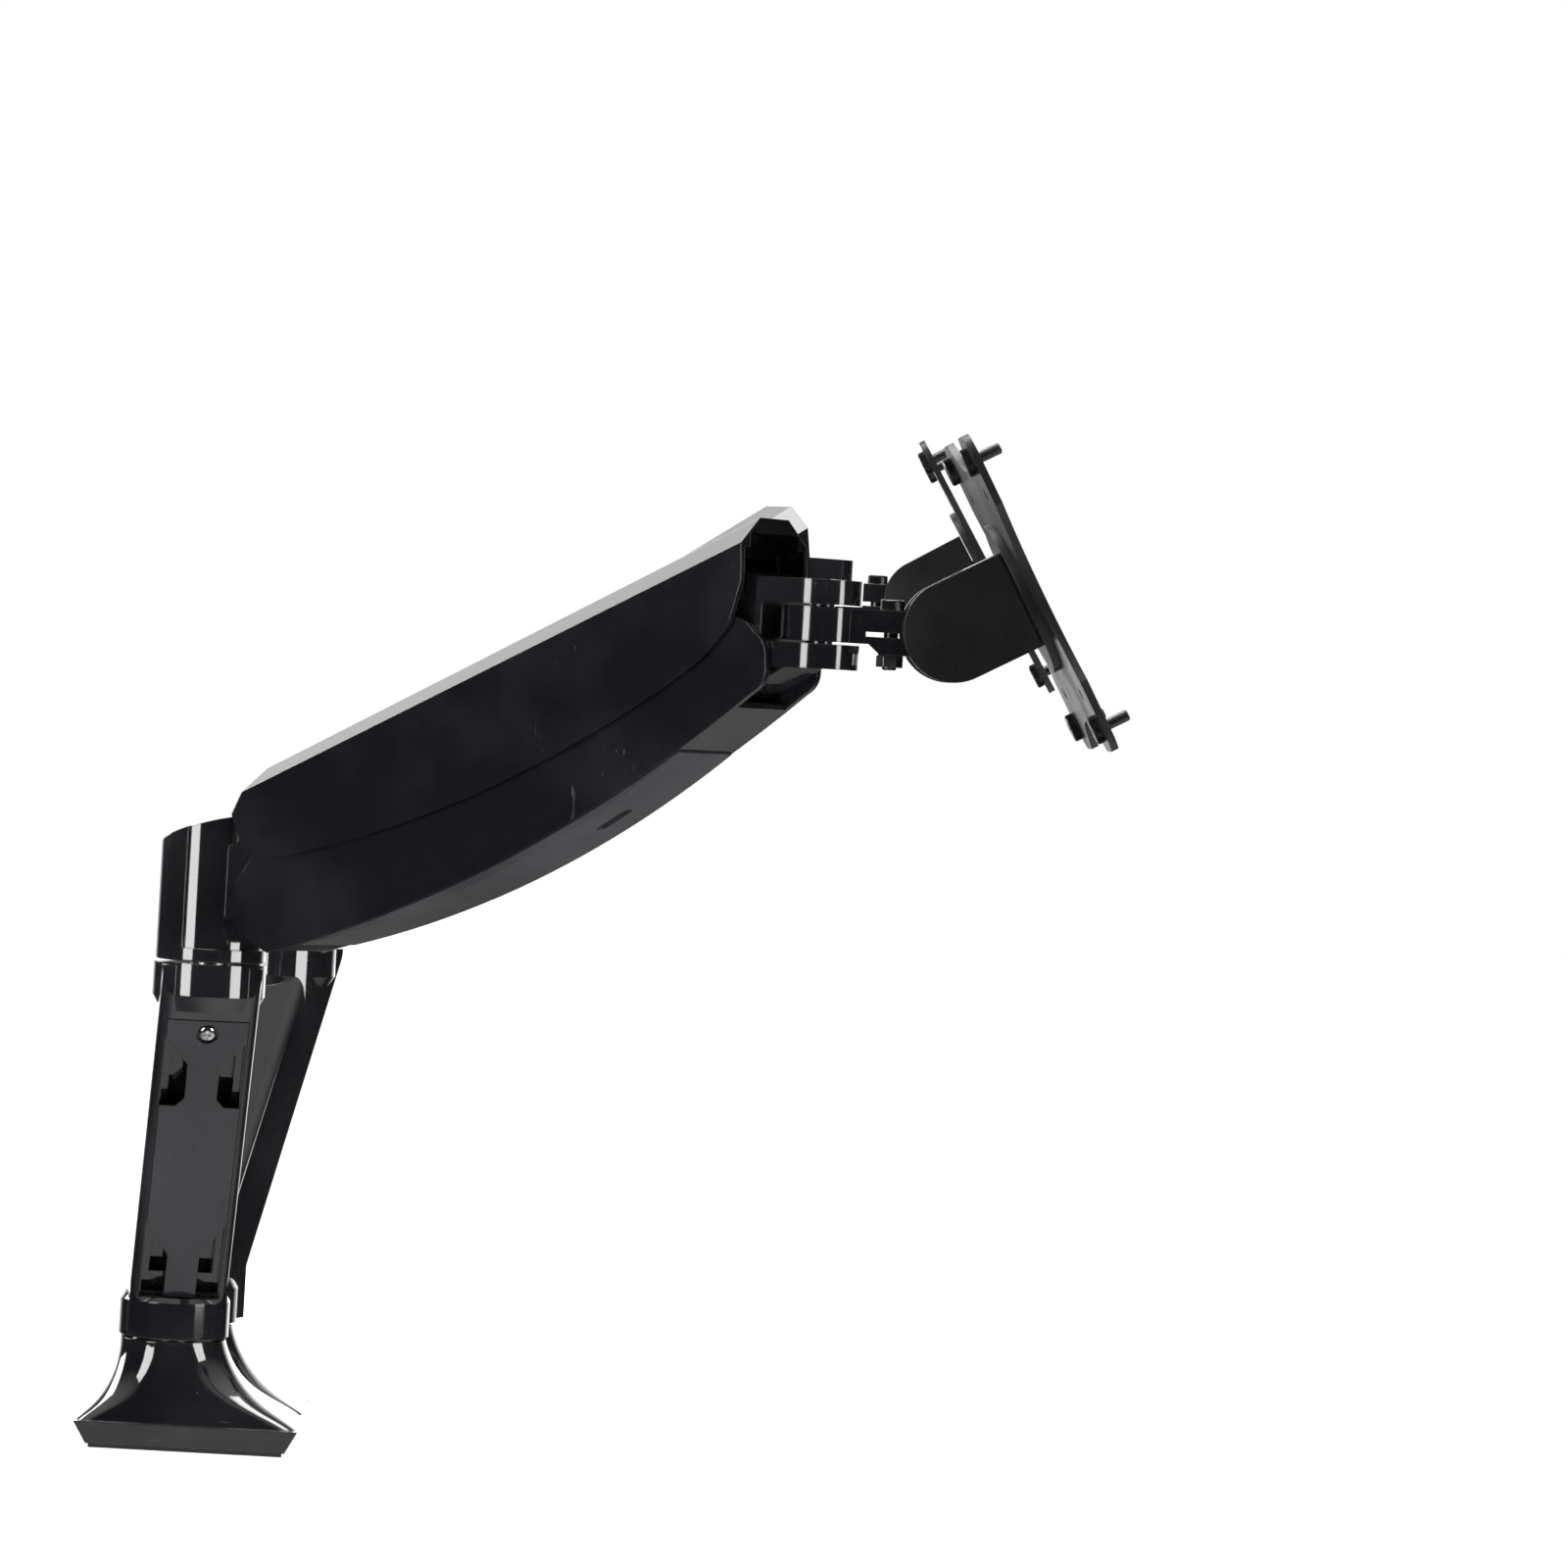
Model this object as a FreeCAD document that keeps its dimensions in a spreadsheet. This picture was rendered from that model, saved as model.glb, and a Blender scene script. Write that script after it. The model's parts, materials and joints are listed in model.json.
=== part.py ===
"""Dual gas-spring monitor arm: one desk foot with two necks, and on each neck a raked lower arm, an
elbow knuckle, a parallel-link upper arm with its gas spring, a clevis, a clamped tilt head and a VESA plate.

Millimetres. Origin: underside centre of the foot on the desk, between the two necks. +Z is up, +X runs
from the desk edge toward the screens, the near arm stands at -Y and the far arm at +Y.
"""
import FreeCAD, Part
import Sketcher
import math
import os
from FreeCAD import Placement, Rotation, Vector

doc = FreeCAD.newDocument("monitor_arm")
sheet = doc.addObject("Spreadsheet::Sheet", "sizes")

SIZES = {
    # foot and necks
    "neck_spacing": 58,
    "foot_shift": 8,
    "foot_half_length": 55,
    "foot_half_width": 42.5,
    "foot_waist": 7,
    "foot_taper": 4.8,
    "foot_rim_height": 10.5,
    "pad_thick": 1.5,
    "neck_height": 42,
    "neck_radius": 20,
    "post_radius": 7.4,
    "post_rise": 20,
    "fixing_length": 72,
    "fixing_width": 52,
    "fixing_radius": 2.5,
    "fixing_depth": 7,
    # fits shared by all joints
    "running_fit": 0.05,
    "gap": 0.6,
    # lower arm
    "collar_radius": 21,
    "collar_height": 14,
    "elbow_collar": 12.6,
    "collar_shoulder": 6,
    "lower_reach": 70,
    "lower_rise": 147,
    "lower_width": 37,
    "lower_half_depth": 16,
    "lower_blend": 5,
    "bush_wall": 1.6,
    "cable_cover_thick": 2.4,
    "cable_cover_width": 30,
    "cable_strip_width": 12,
    "cable_notch_drop": 32,
    "cable_notch_length": 23,
    "cable_panel_low": 42,
    "cable_channel_depth": 12,
    "cable_channel_width": 24,
    "cable_pocket_depth": 6.5,
    "cable_pocket_width": 29.4,
    "screw_head_radius": 3.2,
    "screw_head_seat": 1.2,
    # elbow knuckle
    "knuckle_back_height": 38,
    "knuckle_front_height": 57.5,
    "knuckle_step": 1.3,
    "knuckle_step_reach": 4,
    "elbow_post_rise": 30,
    "pivot_reach": 35,
    "pivot_low": 25,
    "pivot_spacing": 30,
    "lug_width": 22,
    "lug_radius": 8,
    "lug_slot": 11,
    "pin_radius": 4,
    "spring_pin_radius": 2.5,
    "spring_anchor": 15,
    # upper arm
    "arm_length": 225,
    "link_wall": 2.4,
    "blind_skin": 0.8,
    "lower_link_width": 32.2,
    "lower_link_top": 18,
    "lower_link_belly": 11.3,
    "upper_link_width": 27,
    "upper_link_roof": 9.5,
    "upper_link_depth": 5.5,
    "cover_clearance": 0.9,
    "top_cover_wall": 2,
    "top_cover_belly": 8.6,
    "top_cover_mouth": 5,
    "bottom_cover_bulge": 8.9,
    "bottom_cover_width": 30,
    "bottom_cover_start": 14,
    "bottom_cover_end": 200,
    "cover_screw_radius": 1.5,
    # gas spring
    "cylinder_radius": 9,
    "cylinder_start": 62,
    "cylinder_end": 180,
    "spring_length": 195,
    "spring_height": 12.8,
    "rod_radius": 4,
    "rod_bore_depth": 95,
    "rod_inside": 50,
    # clevis
    "clevis_reach": 32,
    "clevis_lift": 4.5,
    "clevis_radius": 13.5,
    "clevis_gap": 13.6,
    "clevis_ear": 8.6,
    "clevis_root": 3,
    # tongue and its clamp
    "tongue_thick": 12,
    "tongue_radius": 13,
    "tongue_width": 18,
    "head_reach": 45,
    "tilt_eye_radius": 9.5,
    "axle_radius": 5,
    "clamp_slit": 1.6,
    "clamp_bolt_reach": 24,
    "clamp_bolt_radius": 2.5,
    # tilt head
    "housing_radius": 17.6,
    "housing_width": 31.2,
    "housing_depth": 25.4,
    "disc_radius": 28,
    "disc_thick": 3,
    "hub_radius": 6,
    # screen plate
    "plate_size": 118,
    "plate_corner": 9,
    "plate_waist": 11,
    "plate_thick": 2.6,
    "vesa_large": 100,
    "vesa_small": 75,
    "vesa_screw_radius": 2,
    "vesa_shoulder_radius": 2.25,
    "vesa_screw_out": 8,
    "vesa_head_radius": 5,
    "vesa_head_thick": 3,
    # pose drawn: headings in plan, lift and tilt above level, in degrees
    "near_lower_heading": -82,
    "near_arm_heading": -38.5,
    "near_lift": 24,
    "near_head_heading": 0,
    "near_tilt": 29,
    "far_lower_heading": 66,
    "far_arm_heading": 36.5,
    "far_lift": 29,
    "far_head_heading": -4,
    "far_tilt": 31,
}


class Size:
    """A length that carries its value and the spreadsheet formula it comes from."""

    def __init__(self, value, text):
        self.value, self.text = value, text

    def join(self, other, sign, value):
        return Size(value, f"({self.text} {sign} {as_size(other).text})")

    def __add__(self, other):
        return self.join(other, "+", self.value + as_size(other).value)

    def __sub__(self, other):
        return self.join(other, "-", self.value - as_size(other).value)

    def __mul__(self, other):
        return self.join(other, "*", self.value * as_size(other).value)

    def __truediv__(self, other):
        return self.join(other, "/", self.value / as_size(other).value)

    def __neg__(self):
        return Size(0.0, "0") - self

    def __radd__(self, other):
        return as_size(other) + self

    def __rsub__(self, other):
        return as_size(other) - self

    def __rmul__(self, other):
        return self * other


def as_size(length):
    """A plain number becomes a size whose formula is the number itself."""
    return length if isinstance(length, Size) else Size(float(length), repr(float(length)))


class Sizes:
    """Reads a named cell of the sheet as a Size: S.pad_thick."""

    def __getattr__(self, name):
        return Size(float(sheet.get(name)), f"sizes.{name}")


for row, (name, value) in enumerate(SIZES.items(), start=1):
    sheet.set(f"A{row}", name)
    sheet.set(f"B{row}", str(value))
    sheet.setAlias(f"B{row}", name)
doc.recompute()
S = Sizes()

parts = []


def bind(thing, prop, length):
    """Give a property its size now and its formula for later changes of the sheet."""
    length = as_size(length)
    setattr(thing, prop, length.value)
    thing.setExpression(prop, length.text)


def new_body(label, frame=None, keep=True):
    """A PartDesign body; kept bodies are written out as sub-parts."""
    body = doc.addObject("PartDesign::Body", label)
    body.Label = label
    body.Placement = frame or Placement()
    if keep:
        parts.append(body)
    return body


def new_sketch(body, role, offset=0):
    """A sketch on one of the body's own origin planes, moved along the plane's normal."""
    sketch = body.newObject("Sketcher::SketchObject", body.Name + "_sketch")
    plane = [item for item in body.Origin.OriginFeatures if item.Role == role][0]
    sketch.AttachmentSupport = (plane, "")
    sketch.MapMode = "FlatFace"
    offset = as_size(offset)
    sketch.AttachmentOffset = Placement(Vector(0, 0, offset.value), Rotation())
    sketch.setExpression("AttachmentOffset.Base.z", offset.text)
    return sketch


def hold(sketch, kind, items, length):
    """A dimension of the sketch, bound to its formula."""
    length = as_size(length)
    index = sketch.addConstraint(Sketcher.Constraint(kind, *items, length.value))
    sketch.setExpression(f"Constraints[{index}]", length.text)


def draw(sketch, outline):
    """A closed outline, counterclockwise. A vertex is (x, y), or (x, y, bulge) where an arc leads to it
    from the vertex before; a positive bulge is outward."""
    corners = [(as_size(v[0]), as_size(v[1])) for v in outline]
    ends = []
    for i, vertex in enumerate(outline):
        before, here = corners[i - 1], corners[i]
        a = Vector(before[0].value, before[1].value, 0)
        b = Vector(here[0].value, here[1].value, 0)
        if len(vertex) == 2:
            index = sketch.addGeometry(Part.LineSegment(a, b))
            ends.append((index, 1, 2))
            continue
        bulge = as_size(vertex[2])
        span = b - a
        outward = Vector(span.y, -span.x, 0).normalize()
        middle = (a + b) / 2 + outward * bulge.value
        if bulge.value > 0:
            index = sketch.addGeometry(Part.Arc(a, middle, b))
            ends.append((index, 1, 2))
            rise = bulge
        else:
            index = sketch.addGeometry(Part.Arc(b, middle, a))
            ends.append((index, 2, 1))
            rise = -bulge
        wide, tall = here[0] - before[0], here[1] - before[1]
        hold(sketch, "Radius", (index,), (wide * wide + tall * tall) / (rise * 8) + rise / 2)
    for i, (index, start, end) in enumerate(ends):
        following = ends[(i + 1) % len(ends)]
        sketch.addConstraint(Sketcher.Constraint("Coincident", index, end, following[0], following[1]))
        hold(sketch, "DistanceX", (-1, 1, index, end), corners[i][0])
        hold(sketch, "DistanceY", (-1, 1, index, end), corners[i][1])


def draw_circle(sketch, x, y, radius):
    x, y, radius = as_size(x), as_size(y), as_size(radius)
    circle = Part.Circle(Vector(x.value, y.value, 0), Vector(0, 0, 1), radius.value)
    index = sketch.addGeometry(circle)
    hold(sketch, "DistanceX", (-1, 1, index, 3), x)
    hold(sketch, "DistanceY", (-1, 1, index, 3), y)
    hold(sketch, "Radius", (index,), radius)


CORNER_RISE = 1 - math.sqrt(0.5)


def rounded(left, right, low, high, corner):
    """A rectangle with round corners, as an outline."""
    rise = as_size(corner) * CORNER_RISE
    return [
        (right - corner, low),
        (right, low + corner, rise),
        (right, high - corner),
        (right - corner, high, rise),
        (left + corner, high),
        (left, high - corner, rise),
        (left, low + corner),
        (left + corner, low, rise),
    ]


def pad(body, sketch, length, symmetric=False):
    feature = body.newObject("PartDesign::Pad", body.Name + "_pad")
    feature.Profile = sketch
    feature.SideType = "Symmetric" if symmetric else "One side"
    bind(feature, "Length", length)
    return feature


def cut(body, sketch, length, symmetric=True, back=False):
    """A pocket; it reaches equally to both sides of its sketch, or to one side only."""
    feature = body.newObject("PartDesign::Pocket", body.Name + "_cut")
    feature.Profile = sketch
    feature.SideType = "Symmetric" if symmetric else "One side"
    feature.Reversed = back
    bind(feature, "Length", length)
    return feature


def turned(label, frame, outline, keep=True):
    """A round piece: a half outline (radius, height) turned about its own Z axis."""
    body = new_body(label, frame, keep)
    sketch = new_sketch(body, "XZ_Plane")
    draw(sketch, outline)
    feature = body.newObject("PartDesign::Revolution", body.Name + "_turn")
    feature.Profile = sketch
    feature.ReferenceAxis = (sketch, ["V_Axis"])
    feature.Angle = 360
    return body


def plain_pin(label, frame, radius, low, high, chamfer=0.4, keep=True):
    """A round pin with chamfered ends, along its own Z axis."""
    outline = [
        (0, low),
        (radius - chamfer, low),
        (radius, low + chamfer),
        (radius, high - chamfer),
        (radius - chamfer, high),
        (0, high),
    ]
    return turned(label, frame, outline, keep)


def tube(label, frame, inner, outer, low, high):
    return turned(label, frame, [(inner, low), (outer, low), (outer, high), (inner, high)])


def group(label, bodies):
    """Identical fasteners that share one sub-part."""
    compound = doc.addObject("Part::Compound", label)
    compound.Label = label
    compound.Links = bodies
    parts.append(compound)


def shifted(frame, x, y, z, turn=None):
    """A frame moved inside another one, and turned there when asked."""
    point = Vector(*[as_size(v).value for v in (x, y, z)])
    return frame.multiply(Placement(point, turn or Rotation()))


ACROSS = Rotation(Vector(1, 0, 0), -90)  # own Z axis laid along +Y
FORWARD = Rotation(Vector(0, 1, 0), 90)  # own Z axis laid along +X


# ---------------------------------------------------------------- foot and necks


def foot_outline(half_length, half_width, waist):
    """Waisted outline of the foot: straight ends, long sides that curve inward."""
    middle = S.foot_shift
    return [
        (middle + half_width, -half_length),
        (middle + half_width, half_length, -waist),
        (middle - half_width, half_length),
        (middle - half_width, -half_length, -waist),
    ]


def loft(body, sketches):
    feature = body.newObject("PartDesign::AdditiveLoft", body.Name + "_loft")
    feature.Profile = sketches[0]
    feature.Sections = sketches[1:]
    feature.Ruled = False
    return feature


def neck_levels():
    """Trumpet levels of one neck: height, reach left, right, outer and inner, corner radius."""
    ring = S.neck_radius
    left = S.foot_half_width - S.foot_shift
    right = S.foot_half_width + S.foot_shift
    outer = S.foot_half_length - S.neck_spacing / 2
    inner = S.neck_spacing / 2
    seat = S.foot_rim_height
    rise = S.neck_height - seat
    return [
        (seat, left - 0.5, right - 0.5, outer - 0.5, inner, 6),
        (seat + rise * 0.17, left - 6, right - 9, outer - 2, inner, 9),
        (seat + rise * 0.4, ring + 3.5, ring + 11, ring + 2, ring + 4, 14),
        (seat + rise * 0.7, ring + 0.6, ring + 3.5, ring + 0.4, ring + 1, 18),
        (S.neck_height - S.gap, ring, ring, ring, ring, ring - 0.5),
    ]


def base_casting():
    body = new_body("base_casting")
    taper = S.foot_taper
    low = new_sketch(body, "XY_Plane", S.pad_thick)
    draw(low, foot_outline(S.foot_half_length - taper, S.foot_half_width - taper, S.foot_waist))
    high = new_sketch(body, "XY_Plane", S.foot_rim_height)
    draw(high, foot_outline(S.foot_half_length, S.foot_half_width, S.foot_waist))
    loft(body, [low, high])
    for side in (-1, 1):
        sketches = []
        for height, left, right, outer, inner, corner in neck_levels():
            middle = S.neck_spacing / 2 * side
            near, far = (outer, inner) if side < 0 else (inner, outer)
            sketch = new_sketch(body, "XY_Plane", height)
            draw(sketch, rounded(-left, as_size(right), middle - near, middle + far, corner))
            sketches.append(sketch)
        loft(body, sketches)
    holes = new_sketch(body, "XY_Plane", S.pad_thick)
    for x in (-1, 1):
        for y in (-1, 1):
            place = (S.foot_shift + S.fixing_width / 2 * x, S.fixing_length / 2 * y)
            draw_circle(holes, *place, S.fixing_radius)
    cut(body, holes, S.fixing_depth, symmetric=False, back=True)
    posts = new_sketch(body, "XY_Plane", S.neck_height)
    for side in (-1, 1):
        draw_circle(posts, 0, S.neck_spacing / 2 * side, S.post_radius)
    cut(body, posts, S.neck_height - S.foot_rim_height, symmetric=False)


def base_pad():
    body = new_body("base_pad")
    sheet_outline = new_sketch(body, "XY_Plane")
    taper = S.foot_taper + 1
    draw(sheet_outline, foot_outline(S.foot_half_length - taper, S.foot_half_width - taper, S.foot_waist))
    for x in (-1, 1):
        for y in (-1, 1):
            place = (S.foot_shift + S.fixing_width / 2 * x, S.fixing_length / 2 * y)
            draw_circle(sheet_outline, *place, S.fixing_radius + 1)
    pad(body, sheet_outline, S.pad_thick)


def neck_posts():
    bodies = []
    for name, side in (("near", -1), ("far", 1)):
        frame = shifted(Placement(), 0, S.neck_spacing / 2 * side, 0)
        post = plain_pin(
            f"{name}_neck_post",
            frame,
            S.post_radius,
            S.foot_rim_height,
            S.neck_height + S.post_rise,
            keep=False,
        )
        bodies.append(post)
    group("neck_posts", bodies)


# ---------------------------------------------------------------- lower arm


def rake(height):
    """How far the raked body has moved out at a height above the lower seam."""
    run = S.lower_reach / (S.lower_rise - S.collar_height - S.elbow_collar)
    return (height - S.collar_height) * run


def lower_arm(side, frame):
    body = new_body(f"{side}_lower_arm", frame)
    half, top = S.lower_half_depth, S.lower_rise - S.gap
    collar_top = S.collar_height
    elbow_low = S.lower_rise - S.elbow_collar
    profile = new_sketch(body, "XZ_Plane")
    draw(
        profile,
        [
            (half, S.gap + 1),
            (half, collar_top),
            (S.lower_reach + half, elbow_low),
            (S.lower_reach + half, top - 1),
            (S.lower_reach - half, top - 1),
            (S.lower_reach - half, elbow_low),
            (-half, collar_top),
            (-half, S.gap + 1),
        ],
    )
    pad(body, profile, S.lower_width, symmetric=True)
    block, edges = body.Tip, raked_edges(body)
    blend = body.newObject("PartDesign::Fillet", body.Name + "_blend")
    blend.Base = (block, edges)
    bind(blend, "Radius", S.lower_blend)
    for x, low, high, shoulder, down in (
        (0, S.gap, collar_top, collar_top, False),
        (S.lower_reach, elbow_low, top, elbow_low, True),
    ):
        collar = new_sketch(body, "XY_Plane", low)
        draw_circle(collar, x, 0, S.collar_radius)
        pad(body, collar, high - low)
        cone = new_sketch(body, "XY_Plane", shoulder)
        draw_circle(cone, x, 0, S.collar_radius)
        narrowing = pad(body, cone, S.collar_shoulder)
        narrowing.Reversed = down
        narrowing.TaperAngle = -30
    cable_recess(body)
    bore = new_sketch(body, "XY_Plane")
    draw_circle(bore, 0, 0, S.post_radius + S.running_fit + S.bush_wall)
    cut(body, bore, S.post_rise + S.gap, symmetric=False, back=True)
    socket = new_sketch(body, "XY_Plane", S.lower_rise)
    draw_circle(socket, S.lower_reach, 0, S.post_radius)
    cut(body, socket, S.post_rise, symmetric=False)


def raked_edges(body):
    """The four long slanted edges of the raked body."""
    doc.recompute()
    names = []
    for index, edge in enumerate(body.Tip.Shape.Edges, start=1):
        along = edge.Vertexes[-1].Point - edge.Vertexes[0].Point
        if abs(along.x) > 1 and abs(along.z) > 1 and abs(along.y) < 0.01:
            names.append(f"Edge{index}")
    return names


def strip_under(depth_out, depth_in, low, high):
    """A band in the underside of the raked body between two heights, measured into the body."""
    half = S.lower_half_depth
    return [
        (half + rake(low) + depth_out, low),
        (half + rake(high) + depth_out, high),
        (half + rake(high) - depth_in, high),
        (half + rake(low) - depth_in, low),
    ]


def cable_recess(body):
    """Seat for the cable cover, and the cable channel behind it."""
    seat = new_sketch(body, "XZ_Plane")
    low, high = S.collar_height + 2, S.lower_rise - S.elbow_collar - 9
    draw(seat, strip_under(6, S.cable_cover_thick, low, high))
    cut(body, seat, S.cable_cover_width + 0.6)
    pocket = new_sketch(body, "XZ_Plane")
    draw(pocket, strip_under(6, S.cable_pocket_depth, low + 2, notch_high() + 1))
    cut(body, pocket, S.cable_pocket_width)
    channel = new_sketch(body, "XZ_Plane")
    draw(channel, strip_under(6, S.cable_channel_depth, S.post_rise + 6, notch_high() - 3))
    cut(body, channel, S.cable_channel_width)
    screw_hole(body)


def screw_hole(body, head=False):
    """Hole for the cable cover screw, square to the raked underside; head adds the seat for its head."""
    point, turn = screw_frame()
    bores = [(as_size(1.5), as_size(8.5))]
    if head:
        bores.append((S.screw_head_radius + 0.9, S.screw_head_seat))
    for radius, deep in bores:
        hole = new_sketch(body, "XY_Plane")
        hole.setExpression("AttachmentOffset.Base.z", None)
        hole.AttachmentOffset = Placement(point, turn)
        draw_circle(hole, 0, 0, radius)
        cut(body, hole, deep * 2)


def screw_frame():
    """Where the cable cover screw meets the raked underside, and the turn that lays Z along the screw."""
    slope = math.degrees(math.atan(rake(S.collar_height + 1).value))
    surface = S.lower_half_depth + rake(screw_height())
    return Vector(surface.value, 0, screw_height().value), Rotation(Vector(0, 1, 0), 90 + slope)


def cable_cover(side, frame):
    """Waisted plate over the cable channel, cut from a slanted slab by its outline seen from outside."""
    body = new_body(f"{side}_cable_cover", frame)
    slab = new_sketch(body, "XZ_Plane")
    low, high = S.collar_height + 2.3, S.lower_rise - S.elbow_collar - 9.3
    draw(slab, strip_under(0, S.cable_cover_thick - 0.02, low, high))
    pad(body, slab, S.cable_cover_width, symmetric=True)
    for y in (-1, 1):
        inside, outside = S.cable_strip_width / 2 * y, (S.cable_cover_width / 2 + 2) * y
        shoulder = (S.cable_strip_width / 2 + 3) * y
        notches = new_sketch(body, "YZ_Plane", S.lower_half_depth)
        spans = [
            (low - 3, S.cable_panel_low, as_size(9)),
            (notch_high() - S.cable_notch_length, notch_high(), as_size(7)),
        ]
        for bottom, ceiling, rise in spans:
            notch = [
                (shoulder, bottom),
                (outside, bottom),
                (outside, ceiling + rise - 2),
                (inside, ceiling - rise),
                (inside, bottom + 3),
            ]
            draw(notches, notch if y > 0 else notch[:4][::-1] + notch[4:])
        cut(body, notches, S.lower_reach * 3)
    screw_hole(body, head=True)


def notch_high():
    """Height of the upper notches' top end above the lower seam, kept below the elbow seam."""
    return S.lower_rise - S.cable_notch_drop


def screw_height():
    """Height of the cable cover screw above the lower seam."""
    return notch_high() + 5


def cable_cover_screw(side, frame):
    """Pan-head screw, square to the raked cover."""
    place = frame.multiply(Placement(*screw_frame()))
    seat, head = -S.screw_head_seat, S.screw_head_radius
    outline = [
        (0, -8.4),
        (1.5, -8.4),
        (1.5, seat),
        (head, seat),
        (head, seat + 1),
        (head * 0.7, seat + 2),
        (0, seat + 2),
    ]
    turned(f"{side}_cable_cover_screw", place, outline)


def base_bush(side, frame):
    bore = S.post_radius + S.running_fit
    tube(f"{side}_base_bush", frame, bore, bore + S.bush_wall, S.gap, S.post_rise + S.gap)


def elbow_post(side, frame):
    place = shifted(frame, S.lower_reach, 0, S.lower_rise)
    plain_pin(f"{side}_elbow_post", place, S.post_radius, -S.post_rise, S.elbow_post_rise)


# ---------------------------------------------------------------- elbow knuckle


def knuckle(side, frame):
    body = new_body(f"{side}_knuckle", frame)
    column = new_sketch(body, "XY_Plane", S.gap)
    draw_circle(column, 0, 0, S.collar_radius - 0.5)
    pad(body, column, S.knuckle_front_height)
    slope = new_sketch(body, "XZ_Plane")
    edge = S.collar_radius
    draw(
        slope,
        [
            (-edge - 5, S.knuckle_back_height),
            (-3, S.knuckle_back_height + 9.6),
            (edge + 5, S.knuckle_front_height),
            (edge + 5, S.knuckle_front_height + 30),
            (-edge - 5, S.knuckle_front_height + 30),
        ],
    )
    cut(body, slope, edge * 3)
    step = new_sketch(body, "XY_Plane", 5)
    reach, inner = S.knuckle_step_reach, edge - 0.5 - S.knuckle_step
    half = inner - 0.4
    draw(
        step,
        [
            (reach, -half),
            (reach, -edge * 2),
            (edge * 2, -edge * 2),
            (edge * 2, edge * 2),
            (reach, edge * 2),
            (reach, half),
            (reach, -half, reach - inner),
        ][1:],
    )
    cut(body, step, S.knuckle_front_height, symmetric=False, back=True)
    lug = new_sketch(body, "XZ_Plane")
    x, low, high, r = S.pivot_reach, S.pivot_low, S.pivot_low + S.pivot_spacing, S.lug_radius
    draw(
        lug,
        [
            (5, low - r),
            (x, low - r),
            (x + r, low, r * CORNER_RISE),
            (x + r, high),
            (x, high + r, r * CORNER_RISE),
            (x - r * 0.94, high - r * 0.34, r * 0.426),
            (x - 16, high - 11),
            (5, high - 13),
        ],
    )
    pad(body, lug, S.lug_width, symmetric=True)
    slot = new_sketch(body, "XZ_Plane")
    draw(slot, [(x - r - 3, 0), (x + 30, 0), (x + 30, high + 30), (x - r - 3, high + 30)])
    cut(body, slot, S.lug_slot)
    bores = new_sketch(body, "XZ_Plane")
    draw_circle(bores, x, low, S.pin_radius)
    draw_circle(bores, x, high, S.pin_radius)
    draw_circle(bores, x, low + S.spring_anchor, S.spring_pin_radius)
    cut(body, bores, S.lug_width * 2)
    bore = new_sketch(body, "XY_Plane")
    draw_circle(bore, 0, 0, S.post_radius + S.running_fit + S.bush_wall)
    cut(body, bore, S.elbow_post_rise + S.gap, symmetric=False, back=True)


def elbow_bush(side, frame):
    bore = S.post_radius + S.running_fit
    tube(f"{side}_elbow_bush", frame, bore, bore + S.bush_wall, S.gap, S.elbow_post_rise + S.gap)


def link_pins(label, frame, x, low, first_half, second_half):
    """The lower and the upper pin of one end of the parallel links."""
    pins = []
    for name, height, half in (("lower", low, first_half), ("upper", low + S.pivot_spacing, second_half)):
        place = shifted(frame, x, 0, height, ACROSS)
        pins.append(plain_pin(f"{label}_{name}", place, S.pin_radius, -half, half, keep=False))
    group(label, pins)


def spring_rear_pin(side, frame):
    place = shifted(frame, S.pivot_reach, 0, S.pivot_low + S.spring_anchor, ACROSS)
    half = S.lug_width / 2
    plain_pin(f"{side}_spring_rear_pin", place, S.spring_pin_radius, -half, half)


# ---------------------------------------------------------------- lower link and its gas spring


def lower_link(side, frame):
    body = new_body(f"{side}_lower_link", frame)
    wall = new_sketch(body, "XZ_Plane")
    top, length = S.lower_link_top, S.arm_length
    draw(
        wall,
        [
            (-2, -20),
            (length + 13, -11, S.lower_link_belly),
            (length + 21, -3, 2.2),
            (length + 20, 8, 2),
            (length + 10, top, 2),
            (8, top),
            (-8, 9),
            (-13, -8),
        ],
    )
    pad(body, wall, S.lower_link_width, symmetric=True)
    inside = new_sketch(body, "XZ_Plane")
    floor = S.link_wall
    draw(
        inside,
        [
            (-40, -60),
            (1, -60),
            (1, -20.3 + floor),
            (length + 3, -13.4 + floor, S.lower_link_belly),
            (length + 3, -60),
            (length + 60, -60),
            (length + 60, 60),
            (-40, 60),
        ],
    )
    cut(body, inside, S.lower_link_width - S.link_wall * 2)
    bores = new_sketch(body, "XZ_Plane")
    draw_circle(bores, 0, 0, S.pin_radius + S.running_fit)
    draw_circle(bores, length, 0, S.pin_radius + S.running_fit)
    draw_circle(bores, S.spring_length, S.spring_height, S.spring_pin_radius)
    cut(body, bores, blind_width())


def blind_width():
    """Width across the blind bores of the lower link: the outer faces stay closed."""
    return S.lower_link_width - S.blind_skin * 2


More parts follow.
